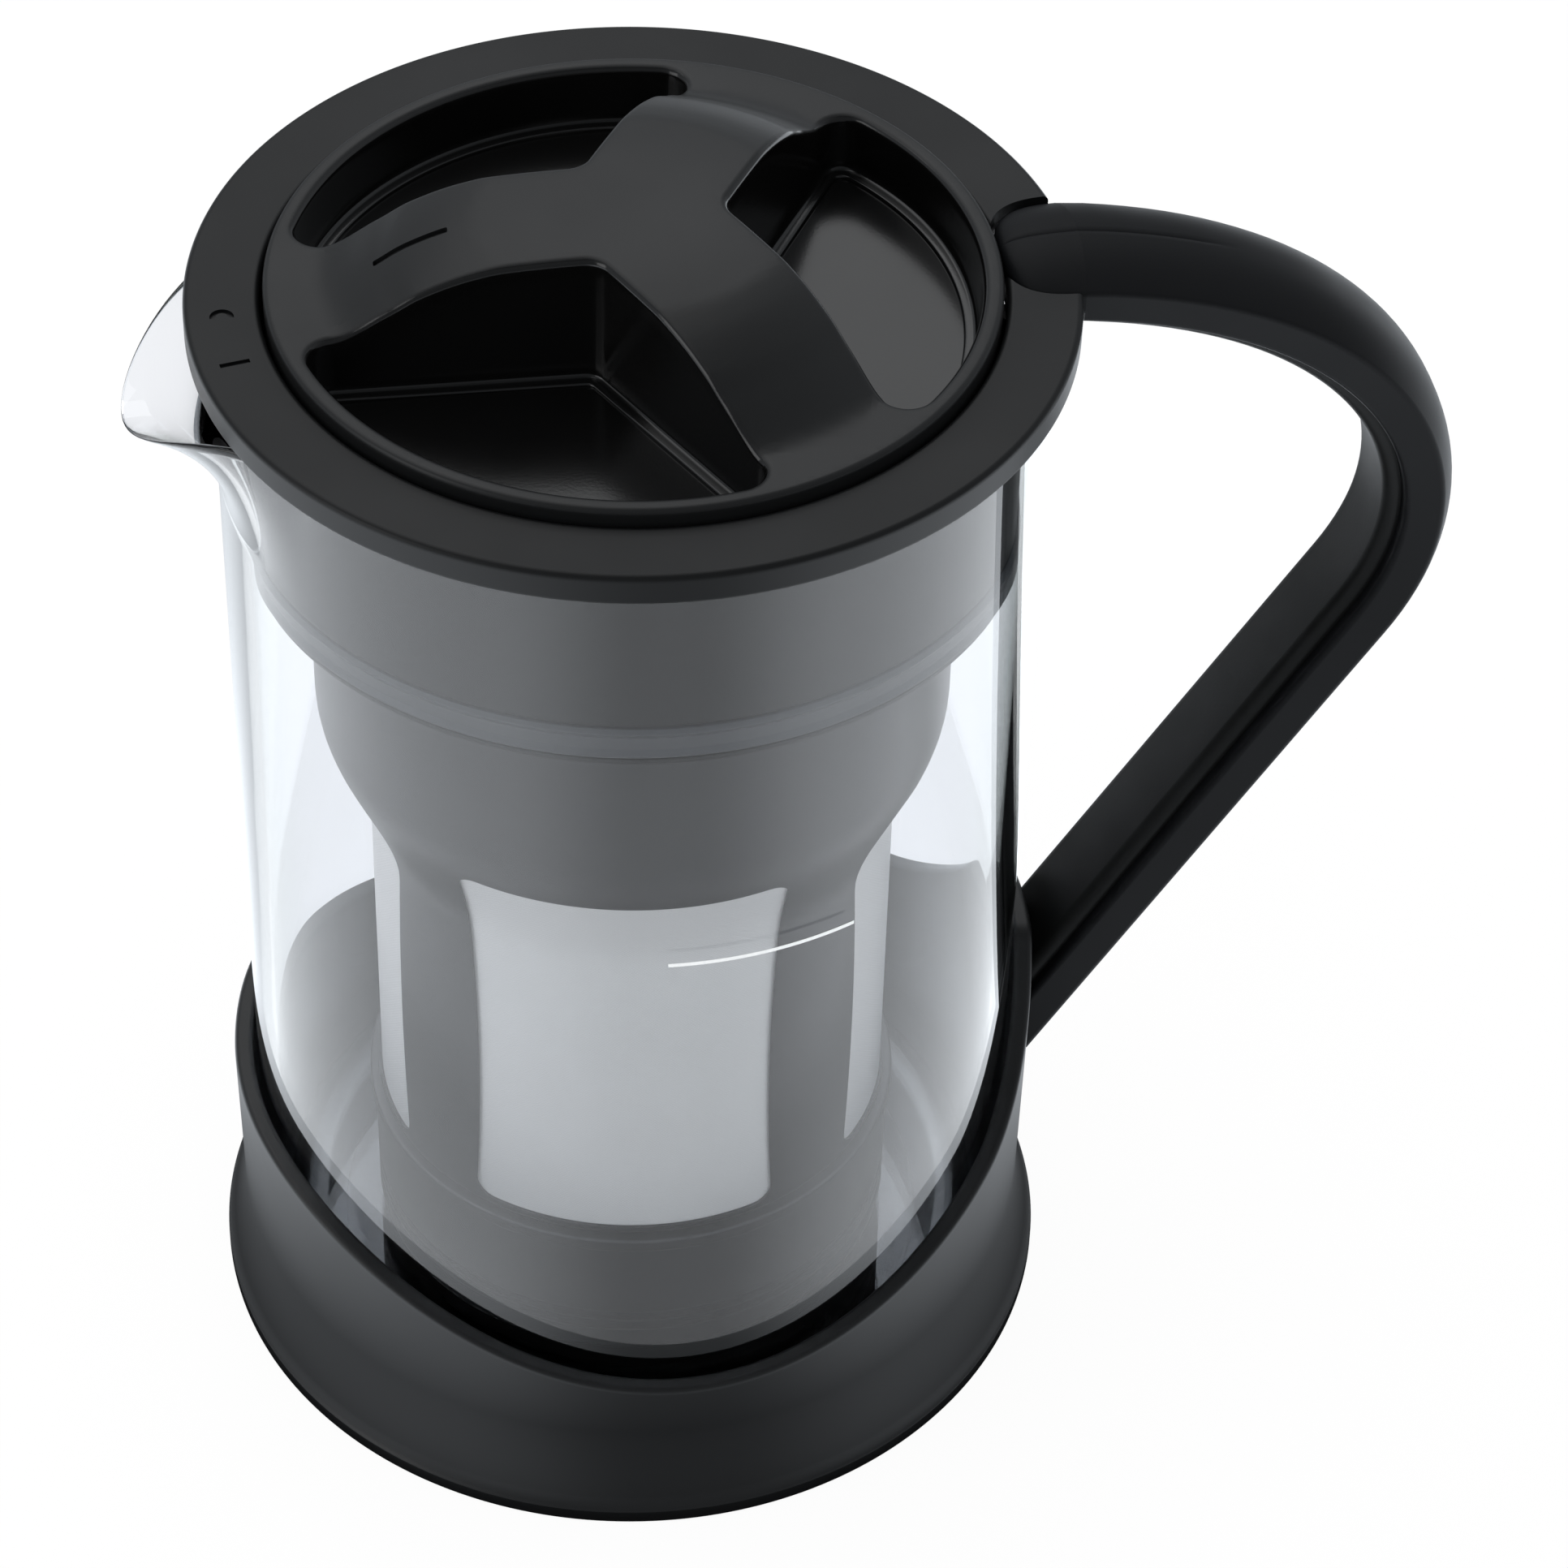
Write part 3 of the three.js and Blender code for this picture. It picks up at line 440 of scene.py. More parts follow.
def baseCup():
    flare = []
    lipTop = cup["lip"] + cup["groove"]
    shoulder = cup["foot"] - cup["groove"]
    for share in shares(cup["flareSteps"]):
        radius = cup["waist"] + (shoulder - cup["waist"]) * (1 - share) ** 2
        flare.append((radius, lipTop + share * (cup["waistZ"] - lipTop)))
    corners = [
        (0, 0), (cup["foot"], 0, cup["edge"]), (cup["foot"], cup["lip"], cup["lipEdge"]), *flare,
        (cup["radius"], cup["rim"], cup["edge"]), (cup["inner"], cup["rim"], cup["edge"]),
        (cup["inner"], cup["floor"], cup["floorEdge"]), (0, cup["floor"]),
    ]
    bm = spun(filleted(corners, closed=False), closed=False)
    top = cup["rim"] - cup["edge"]
    for vert in bm.verts:
        if hypot(vert.co.x, vert.co.y) < 1:
            continue
        turn = abs(atan2(vert.co.y, vert.co.x))
        rise = cup["rise"] * sin(min(cup["wave"] * abs(pi / 2 - turn), pi / 2)) ** 2
        near = (cup["saddleSpread"] - degrees(turn)) / (cup["saddleSpread"] - cup["saddleTurn"])
        saddle = cup["saddle"] - cup["rim"] - cup["rise"]
        rise += saddle * min(max(near, 0), 1) ** cup["saddleShare"]
        share = (vert.co.z - cup["waistZ"]) / (top - cup["waistZ"])
        vert.co.z += rise * min(max(share, 0), 1)
    finishPiece(bm, "baseCup", "sheenPolypropylene", "jug", ["base_cup"])


jugGlass()
printedLine()
baseCup()
print("jug and cup made")


# Handle

handle = {
    "width": 20.4, "crown": 3, "crownPower": 2.5, "edgeZ": 180.2, "start": 59.7, "nose": 49.1,
    "noseLow": 176.6, "blunt": 0.68, "near": (104.3, 174.4), "far": (123.8, 142.0),
    "knee": (106.4, 114.0), "foot": (59.4, 38.0), "gapRadius": 59.7, "backWidth": 18.8,
    "depth": 5.4, "edge": 0.9, "seam": 0.16, "seamEnd": 78, "seamDepth": 20, "seamStart": 4,
    "seamPoint": 10, "tongueSteps": 14, "bendSteps": 44, "straightSteps": 12, "outlineSteps": 32,
    "sectionShares": (
        -0.9, -0.8, -0.7, -0.6, -0.5, -0.4, -0.3, -0.2, -0.1, -0.03, 0,
        0.03, 0.1, 0.2, 0.3, 0.4, 0.5, 0.6, 0.7, 0.8, 0.9,
    ),
}
pad = {
    "width": 14.4, "near": 5.0, "far": 7.9, "round": 1.9, "crown": 0.3, "footWidth": 15.4,
    "flat": 0.4, "dip": 0.05,
}


# Point and direction on the handle's outer edge, as (x, z): share 0 is at the ring, 1 at the knee
# from where it runs straight
def bend(share):
    p = [Vector(handle[key]) for key in ("near", "far", "knee")]
    p.insert(0, Vector((handle["start"], handle["edgeZ"])))
    q = 1 - share
    point = p[0] * q ** 3 + p[1] * 3 * q * q * share + p[2] * 3 * q * share ** 2 + p[3] * share ** 3
    run = (p[1] - p[0]) * q * q + (p[2] - p[1]) * 2 * q * share + (p[3] - p[2]) * share ** 2
    return point, run.normalized()


# A section of (side, inward) points, set across the path at a point
def across(section, point, run):
    return [
        Vector((point.x + inward * run.y, side, point.y - inward * run.x)) for side, inward in section
    ]


# Moves a point along a direction to the cylinder that the arm's ends stand against
def onCylinder(place, run, share=1.0):
    wanted = sqrt(handle["gapRadius"] ** 2 - place.y ** 2)
    way = (wanted - place.x) / run.x * share
    return place + Vector((run.x, 0, run.y)) * way


# The arm from the ring to the cup; section(share) gives its shape at a share of the straight part
def armRings(section):
    level = Vector((1, 0))
    point, run = bend(0)
    rings = [[onCylinder(place, level) for place in across(section(0), point, run)]]
    for k in range(1, handle["bendSteps"] + 1):
        point, run = bend(k / handle["bendSteps"])
        rings.append(across(section(0), point, run))
    down = (Vector(handle["foot"]) - Vector(handle["knee"])).normalized()
    for k in range(1, handle["straightSteps"] + 1):
        share = k / handle["straightSteps"]
        rings.append([onCylinder(place, down, share) for place in across(section(share), point, down)])
    return rings


def shellSection(half, crown, backHalf, depth, seam):
    over = []
    for share in handle["sectionShares"]:
        rise = crown * (1 - abs(share) ** handle["crownPower"])
        over.append((share * half, (seam if share == 0 else 0) - rise))
    edge = min(handle["edge"], half * 0.2)
    under = [(half, 0, edge), (backHalf, depth, edge), (-backHalf, depth, edge), (-half, 0, edge)]
    return filleted(over + under, guard=0.05)


def handleShell():
    half, backHalf = handle["width"] / 2, handle["backWidth"] / 2
    tongueDepth = handle["edgeZ"] - handle["noseLow"]
    reach = handle["start"] - handle["nose"]
    level = Vector((1, 0))
    rings = []
    for k in range(1, handle["tongueSteps"] + 1):
        turn = pi / 2 * k / handle["tongueSteps"]
        x = handle["start"] - reach * max(cos(turn), 0) ** handle["blunt"]
        width = half * sin(turn) ** handle["blunt"]
        seam = handle["seam"] if k >= handle["seamStart"] else 0
        section = shellSection(width, handle["crown"] * sin(turn) ** 0.6, width, tongueDepth, seam)
        rings.append(across(section, Vector((x, handle["edgeZ"])), level))
    rings[-1] = [onCylinder(place, level) for place in rings[-1]]
    arm = armRings(lambda share: shellSection(half, handle["crown"], backHalf, handle["depth"], 0))
    for ring in arm:
        middle = ring[handle["seamPoint"]]
        if middle.x < handle["seamEnd"] and middle.z > handle["edgeZ"] - handle["seamDepth"]:
            ring[handle["seamPoint"]] = middle - Vector((0, 0, handle["seam"]))
    finishPiece(
        rolled(rings + arm), "handleShell", "softTouchHandle", "jug", ["handle_shell"],
    )


def handlePad():
    def section(share):
        half = (pad["width"] + (pad["footWidth"] - pad["width"]) * share) / 2
        shoulder = (half, pad["far"] - pad["crown"], pad["round"])
        right = [(half, pad["near"]), shoulder, (half * pad["flat"], pad["far"] - pad["dip"])]
        left = [(-corner[0], *corner[1:]) for corner in reversed(right)]
        return filleted(right + left, guard=0.05)

    finishPiece(
        rolled(armRings(section)), "handlePad", "elastomerGrip", "jug", ["handle_insert"],
    )


handleShell()
handlePad()
print("handle made")


# Lid ring and its seal

lid = {
    "ring": 59.2, "opening": 49.2, "top": 181, "low": 176.6, "edge": 0.8, "skirt": 52.4,
    "skirtInner": 49.9, "skirtLow": 144.2, "shelf": 44.9, "shelfTop": 168, "shelfLow": 166,
    "grooveRadius": 51.2, "grooveLow": 145.2, "grooveTop": 150.8, "notchGap": 0.6, "dentWall": 1.7,
    "dentTop": 176.0, "dentShare": 0.01, "coreTop": 179, "cutLow": 140, "cutTop": 185,
    "cutFar": 62.7, "step": 0.7,
}
marks = {
    "azimuth": 178.9, "twist": 10.5, "depth": 0.4, "middle": 54.2, "arc": 1.6, "stroke": 0.8,
    "opening": 80, "length": 4.0, "above": 1,
}
slots = {"count": 3, "width": 3.0, "pitch": 6.5, "low": 152.8, "top": 164, "past": 1}
locks = {
    "spokes": (57.4, 177.4, 297.4), "inner": 47.2, "into": 1.2, "halfTurn": 4, "low": 173.5,
    "top": 175,
}


# The round end of the handle's tongue seen from above, grown by an offset
def tongueOutline(offset):
    length = handle["start"] - handle["nose"] + offset
    half = handle["width"] / 2 + offset
    points = [(lid["cutFar"], half)]
    for share in shares(handle["outlineSteps"]):
        turn = pi * (0.5 - share)
        out = max(cos(turn), 0) ** handle["blunt"]
        side = (1 if turn > 0 else -1) * abs(sin(turn)) ** handle["blunt"]
        points.append((handle["start"] - length * out, half * side))
    return points + [(lid["cutFar"], -half)]


# Part of an upright ring round a centre, from low to high
def sector(inner, outer, azimuth, halfTurn, low, high, centre=(0, 0), steps=10):
    turns = [radians(azimuth + halfTurn * (share * 2 - 1)) for share in shares(steps)]
    ring = [(outer, turn) for turn in turns] + [(inner, turn) for turn in reversed(turns)]
    outline = [(centre[0] + r * cos(turn), centre[1] + r * sin(turn)) for r, turn in ring]
    return prism(outline, low, high)


# Several closed shapes that don't meet, as one
def gathered(shapes):
    whole = bmesh.new()
    for shape in shapes:
        mesh = bpy.data.meshes.new("part")
        shape.to_mesh(mesh)
        shape.free()
        whole.from_mesh(mesh)
        bpy.data.meshes.remove(mesh)
    return whole


def lidCollar():
    corners = [
        (lid["skirtInner"], lid["skirtLow"], soft), (lid["skirt"], lid["skirtLow"], soft),
        (lid["skirt"], lid["grooveLow"], crisp), (lid["grooveRadius"], lid["grooveLow"]),
        (lid["grooveRadius"], lid["grooveTop"]), (lid["skirt"], lid["grooveTop"], slight),
        (lid["skirt"], lid["low"]), (lid["ring"], lid["low"], full),
        (lid["ring"], lid["top"], lid["edge"]), (lid["opening"], lid["top"], lid["edge"]),
        (lid["opening"], lid["low"]),
        (lid["skirtInner"], lid["low"] - lid["step"]), (lid["skirtInner"], lid["shelfTop"], full),
        (lid["shelf"], lid["shelfTop"], soft), (lid["shelf"], lid["shelfLow"], soft),
        (lid["skirtInner"], lid["shelfLow"], full),
    ]
    bm = spun(filleted(corners), steps=300)
    grown = tongueOutline(lid["notchGap"] + lid["dentWall"])
    within = lid["skirt"] - lid["dentShare"]
    inside = [(0, lid["cutLow"]), (within, lid["cutLow"]), (within, lid["coreTop"]), (0, lid["coreTop"])]
    block = spun(inside, steps=300, closed=False)
    dent = combined(prism(grown, lid["skirtLow"], lid["dentTop"]), block, "INTERSECT")
    bm = combined(bm, dent, "UNION")
    ledges = [
        sector(
            locks["inner"], lid["skirtInner"] + locks["into"], spoke + marks["twist"],
            locks["halfTurn"], locks["low"], locks["top"],
        )
        for spoke in locks["spokes"]
    ]
    bm = combined(bm, gathered(ledges), "UNION")
    cuts = [prism(tongueOutline(lid["notchGap"]), lid["cutLow"], lid["cutTop"])]
    perMm = degrees(1 / lid["skirt"])
    for k in range(slots["count"]):
        azimuth = 180 + (k - (slots["count"] - 1) / 2) * slots["pitch"] * perMm
        cuts.append(sector(
            lid["skirtInner"] - slots["past"], lid["skirt"] + slots["past"], azimuth,
            slots["width"] / 2 * perMm, slots["low"], slots["top"],
        ))
    low, high = lid["top"] - marks["depth"], lid["top"] + marks["above"]
    turn = radians(marks["azimuth"])
    centre = (marks["middle"] * cos(turn), marks["middle"] * sin(turn))
    cuts.append(sector(
        marks["arc"] - marks["stroke"], marks["arc"], marks["azimuth"] - 90, 180 - marks["opening"],
        low, high, centre, steps=24,
    ))
    halfLine = degrees(marks["stroke"] / 2 / marks["middle"])
    near, off = marks["middle"] - marks["length"] / 2, marks["middle"] + marks["length"] / 2
    cuts.append(sector(near, off, marks["azimuth"] + marks["twist"], halfLine, low, high, steps=2))
    bm = combined(bm, gathered(cuts), "DIFFERENCE")
    finishPiece(bm, "lidCollar", "satinPolypropylene", "lid", ["lid_collar"])


seal = {
    "dentGap": 0.3, "cutTop": 155,
    # radius, height and rounding of each corner
    "profile": [
        (51.5, 145.5), (52.4, 145.5, 0.2), (53.0, 146.1, 0.25), (52.4, 147.0, 0.3),
        (52.4, 149.0, 0.3), (53.0, 149.9, 0.25), (52.4, 150.5, 0.2), (51.5, 150.5),
    ],
}


def collarSeal():
    bm = spun(filleted(seal["profile"], guard=0.03, steps=3), steps=300)
    grown = tongueOutline(lid["notchGap"] + lid["dentWall"] + seal["dentGap"])
    gap = prism(grown, lid["cutLow"], seal["cutTop"])
    bm = combined(bm, gap, "DIFFERENCE")
    finishPiece(bm, "collarSeal", "sealSilicone", "lid", ["collar_seal"])


lidCollar()
collarSeal()
print("lid ring made")


# Filter core

core = {
    "flange": 46.2, "flangeLow": 169.4, "flangeTop": 171.4, "radius": 44.6, "wall": 2.2, "tube": 38,
    "taperLow": 92, "taperTop": 116, "tubeLow": 38, "neck": 34.9, "neckInner": 32.9, "neckLow": 25,
    "lug": 36, "lugLow": 27, "lugTop": 29, "lugTurn": 8, "lugInto": 1, "stepTop": 38.9,
    "stepLow": 36.7, "taperSteps": 14,
}
panel = {"recess": 0.5, "wall": 0.6, "lap": 0.15, "low": 37, "halfTurn": 39}
window = {
    "count": 4, "azimuth": -101, "low": 39.3, "top": 109, "foot": 21.2, "middle": 20.4,
    "head": 22.3, "corner": 2.5, "steps": 16, "inside": 20,
}
thirds = (0, 120, 240)


def taper(step):
    drop = core["radius"] - core["tube"]
    points = []
    for share in shares(core["taperSteps"]):
        z = core["taperLow"] + (core["taperTop"] - core["taperLow"]) * share
        points.append((core["tube"] - step + drop * share * share * (3 - 2 * share), z))
    return points


# A window's outline as (side, height), grown by an offset
def windowOutline(offset):
    low, top = window["low"] - offset, window["top"] + offset
    right = []
    for share in shares(window["steps"]):
        ends = window["foot"] * (1 - share) + window["head"] * share
        pull = 4 * share * (1 - share) * ((window["foot"] + window["head"]) / 2 - window["middle"])
        right.append((ends - pull + offset, low + (top - low) * share))
    right[0], right[-1] = (*right[0], window["corner"]), (*right[-1], window["corner"])
    left = [(-corner[0], *corner[1:]) for corner in reversed(right)]
    return filleted(right + left, guard=0.02)


def windowPrisms(offset):
    shapes = []
    for k in range(window["count"]):
        shape = prism(windowOutline(offset), window["inside"], core["radius"])
        facing = Matrix(((0, 0, 1), (1, 0, 0), (0, 1, 0))).to_4x4()
        turn = Matrix.Rotation(radians(window["azimuth"] + 90 * k), 4, "Z")
        bmesh.ops.transform(shape, matrix=turn @ facing, verts=shape.verts)
        shapes.append(shape)
    return shapes


def filterBody():
    corners = [
        (core["neckInner"], core["neckLow"], soft), (core["neck"], core["neckLow"], soft),
        (core["neck"], core["tubeLow"], slight), (core["tube"], core["tubeLow"], full), *taper(0),
        (core["radius"], core["flangeLow"], soft), (core["flange"], core["flangeLow"], soft),
        (core["flange"], core["flangeTop"], full),
        (core["radius"] - core["wall"], core["flangeTop"], full),
        *reversed(taper(core["wall"])), (core["tube"] - core["wall"], core["stepTop"]),
        (core["neckInner"], core["stepLow"]),
    ]
    bm = spun(filleted(corners))
    inner, outer, turn = core["neck"] - core["lugInto"], core["lug"], core["lugTurn"]
    lugs = [sector(inner, outer, azimuth, turn, core["lugLow"], core["lugTop"]) for azimuth in thirds]
    bm = combined(bm, gathered(lugs), "UNION")
    for shape in windowPrisms(0):
        bm = combined(bm, shape, "DIFFERENCE")
    finishPiece(bm, "filterBody", "foodGradePolypropylene", "core", ["filter_body"])


def meshPanels():
    outer, inner = panel["recess"], panel["recess"] + panel["wall"]
    profile = [(core["tube"] - inner, panel["low"]), (core["tube"] - outer, panel["low"])]
    profile += taper(outer) + taper(inner)[::-1]
    for k, shape in enumerate(windowPrisms(panel["lap"])):
        start = window["azimuth"] + 90 * k - panel["halfTurn"]
        sheet = spun(profile, steps=64, start=start, turn=2 * panel["halfTurn"])
        bm = combined(sheet, shape, "INTERSECT")
        finishPiece(bm, f"meshPanel{k + 1}", "mesh", "core", [f"mesh_panel_{k + 1}"])


closure = {
    "radius": 38.6, "grooves": (17.0, 19.0, 21.0), "grooveDepth": 0.12, "grooveHalf": 0.25,
    # radius, height and rounding of each corner below the grooves round its side, and above them
    "foot": [(0, 12), (38.6, 12, 2.4)],
    "upper": [
        (38.6, 34.9, 0.4), (39.3, 35.6, 0.3), (39.3, 37.7, 0.4), (36.3, 37.7, 0.3), (36.3, 14.3, 1.0),
        (0, 14.3),
    ],
    "ledge": {"inner": 35.2, "outer": 36.6, "halfTurn": 10, "low": 29.3, "high": 31.3},
}


def bottomCap():
    side, half = closure["radius"], closure["grooveHalf"]
    grooves = []
    for z in closure["grooves"]:
        grooves += [(side, z), (side - closure["grooveDepth"], z + half), (side, z + 2 * half)]
    corners = closure["foot"] + grooves + closure["upper"]
    bm = spun(filleted(corners, closed=False), closed=False)
    ledges = [sector(azimuth=azimuth, **closure["ledge"]) for azimuth in thirds]
    bm = combined(bm, gathered(ledges), "UNION")
    finishPiece(
        bm, "bottomCap", "foodGradePolypropylene", "bottom_closure", ["bottom_cap"],
    )


filterBody()
meshPanels()
bottomCap()
print("filter core made")


# Small turned rings: the body, the node, and the inner radius, outer radius, foot, top and rounding

smallRings = {
    "cushionRing": ("jug", "glass_cushion_ring", (36, 44, 3.7, 5.0, 0.5)),
    "coreSeal": ("core", "core_seal", (45.1, 46.2, 168.3, 169.1, 0.3)),
    "neckSeal": ("core", "bottom_cap_seal", (35.2, 36.0, 33.0, 35.4, 0.35)),
    "capGasket": ("cap_carrier", "cap_gasket", (40.9, 42.1, 169.6, 170.4, 0.35)),
}
for name, (body, node, (inner, outer, low, high, rounding)) in smallRings.items():
    corners = [(inner, low), (outer, low), (outer, high), (inner, high)]
    profile = filleted([(*corner, rounding) for corner in corners], steps=4, guard=0.05)
    finishPiece(spun(profile, steps=180), name, "blackSilicone", body, [node])

for name in ("handle_screw_left", "handle_screw_right"):
    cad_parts[name].material_slots[0].material = surfaces["steel"]


plug = {
    # radius, height and rounding of each corner
    "profile": [
        (0, 168.4), (41.8, 168.4, 0.4), (41.8, 169.2, 0.1), (40.6, 169.2), (40.6, 170.8),
        (41.8, 170.8, 0.1), (41.8, 171.4, 0.2), (0, 171.4),
    ],
}


def capPlug():
    bm = spun(filleted(plug["profile"], closed=False, guard=0.05), steps=180, closed=False)
    finishPiece(bm, "capPlug", "foodGradePolypropylene", "cap", ["cap_plug"])


capPlug()
print("seals, screws and plug made")


# Twist cap

cap = {
    "radius": 48.7, "lipEdge": 0.8, "top": 183, "domeHeight": 10.3, "sheetStep": 1.6,
    "sheetShift": 0.37, "bite": 0.0005, "rimBand": 0.2, "grooveBand": 0.05,
    "dome": [(1, 0), (0.86, 0), (0.7, 0.39), (0.62, 0.63), (0.49, 0.87), (0.41, 0.95), (0.2, 1), (0, 1)],
    # radius and height of the lip's corners and the inner wall's, from the upper edge down
    "lip": [
        (48.7, 181.9), (48.7, 177.4), (48.58, 177.05), (48.2, 176.9), (46.4, 176.9), (46.2, 176.7),
        (46.2, 172.1), (46.08, 171.82), (45.8, 171.7), (45.2, 171.7),
    ],
    "lock": 48.0, "lockInner": 45.2, "lockLow": 171.75, "lockTop": 173.2,
}
pocket = {
    "floor": 174, "radius": 46, "spokeHalf": 10.2, "edge": 1.1, "apexRound": 3.4, "cornerRound": 3.6,
    "draft": 4.0, "sideDraft": 0.3, "fillet": 0.7, "ledge": 0.8, "step": 0.55, "floorRound": 0.45,
    "floorShare": 0.6, "floorRings": (0.25, 0.6), "wallRings": (0.12, 0.5, 0.9), "satinRings": 2,
    "azimuths": (117.4, 237.4, 357.4), "halfAngle": 60, "arcStep": 0.5, "sideStep": 1.2,
    "rimStep": 1.0, "weld": 0.02,
}
groove = {
    "start": 24.4, "length": 9.8, "width": 1.1, "depth": 0.7, "azimuth": 177.4, "corner": 0.25,
    "rings": (0.6, 1.0),
}


# Monotone curve through the dome's points, as the height at a radius
def domeHeight(radius):
    points = [(share * cap["radius"], cap["top"] + up * cap["domeHeight"])
              for share, up in reversed(cap["dome"])]
    rates = [(b[1] - a[1]) / (b[0] - a[0]) for a, b in zip(points, points[1:])]
    slopes = [0.0]
    for a, b in zip(rates, rates[1:]):
        slopes.append(2 * a * b / (a + b) if a * b > 0 else 0.0)
    slopes.append(0.0)
    for k, (a, b) in enumerate(zip(points, points[1:])):
        if radius <= b[0] or k == len(rates) - 1:
            span = b[0] - a[0]
            t = min(max((radius - a[0]) / span, 0), 1)
            return (
                a[1] * (1 + 2 * t) * (1 - t) ** 2 + b[1] * t * t * (3 - 2 * t)
                + span * (slopes[k] * t * (1 - t) ** 2 - slopes[k + 1] * t * t * (1 - t))
            )


# A pocket's outline grown by an offset: points, and at each the direction into the pocket
def pocketOutline(grow, azimuth):
    half = pocket["spokeHalf"] - grow
    apexRound, cornerRound = pocket["apexRound"] + grow, pocket["cornerRound"] + grow
    radius = pocket["radius"] + grow
    slant, side = radians(pocket["halfAngle"]), radians(pocket["halfAngle"] + 90)
    normal, along = Vector((sin(slant), -cos(slant))), Vector((cos(slant), sin(slant)))
    apex = Vector(((half + apexRound) / normal.x, 0))
    off = half + cornerRound
    corner = normal * off + along * sqrt((radius - cornerRound) ** 2 - off ** 2)
    cornerTurn = atan2(corner.y, corner.x)
    upper = []

    def arc(centre, size, start, end, step):
        count = max(ceil(abs(end - start) * size / step), 4)
        for k in range(count + 1):
            turn = start + (end - start) * k / count
            out = Vector((cos(turn), sin(turn)))
            upper.append((centre + out * size, -out))

    arc(apex, apexRound, pi, side, pocket["arcStep"])
    first, last = apex - normal * apexRound, corner - normal * cornerRound
    count = ceil((last - first).length / pocket["sideStep"])
    upper += [(first.lerp(last, k / count), normal) for k in range(1, count)]
    arc(corner, cornerRound, side, cornerTurn, pocket["arcStep"])
    arc(Vector((0, 0)), radius, cornerTurn, 0, pocket["rimStep"])
    lower = [(Vector((p.x, -p.y)), Vector((d.x, -d.y))) for p, d in reversed(upper)]
    turn = Matrix.Rotation(radians(azimuth), 2)
    outline = []
    for point, inward in upper + lower:
        point, inward = turn @ point, turn @ inward
        if not outline or (point - outline[-1][0]).length > pocket["weld"]:
            outline.append((point, inward))
    if (outline[0][0] - outline[-1][0]).length < pocket["weld"]:
        outline.pop()
    return outline


# The groove's outline on the spoke, with small rounded corners
def grooveOutline():
    near, far, half = groove["start"], groove["start"] + groove["length"], groove["width"] / 2
    corners = [(near, -half), (far, -half), (far, half), (near, half)]
    outline = filleted([(*corner, groove["corner"]) for corner in corners], steps=3, guard=0.05)
    turn = Matrix.Rotation(radians(groove["azimuth"]), 2)
    return [turn @ point for point in outline]


# The nearest point of an outline, and its direction inwards
def nearest(outline, place):
    flat = place.xy
    best = None
    for (a, inA), (b, inB) in zip(outline, outline[1:] + outline[:1]):
        span = b - a
        t = min(max((flat - a).dot(span) / span.length_squared, 0), 1)
        gap = (a.lerp(b, t) - flat).length
        if best is None or gap < best[0]:
            best = (gap, inA.lerp(inB, t).normalized())
    return best


# Adds a ring of faces inside or under a loop, and returns the new loop
def nextRing(bm, loop, place, materialIndex=0):
    made = bmesh.ops.extrude_edge_only(bm, edges=loop)["geom"]
    verts = {item for item in made if isinstance(item, bmesh.types.BMVert)}
    for vert in verts:
        vert.co = place(vert)
        for face in vert.link_faces:
            face.material_index = materialIndex
    return [e for e in made if isinstance(e, bmesh.types.BMEdge) and verts.issuperset(e.verts)]


# Even steps over a quarter turn, without its start
def quarter(steps):
    return [pi / 2 * k / steps for k in range(1, steps + 1)]


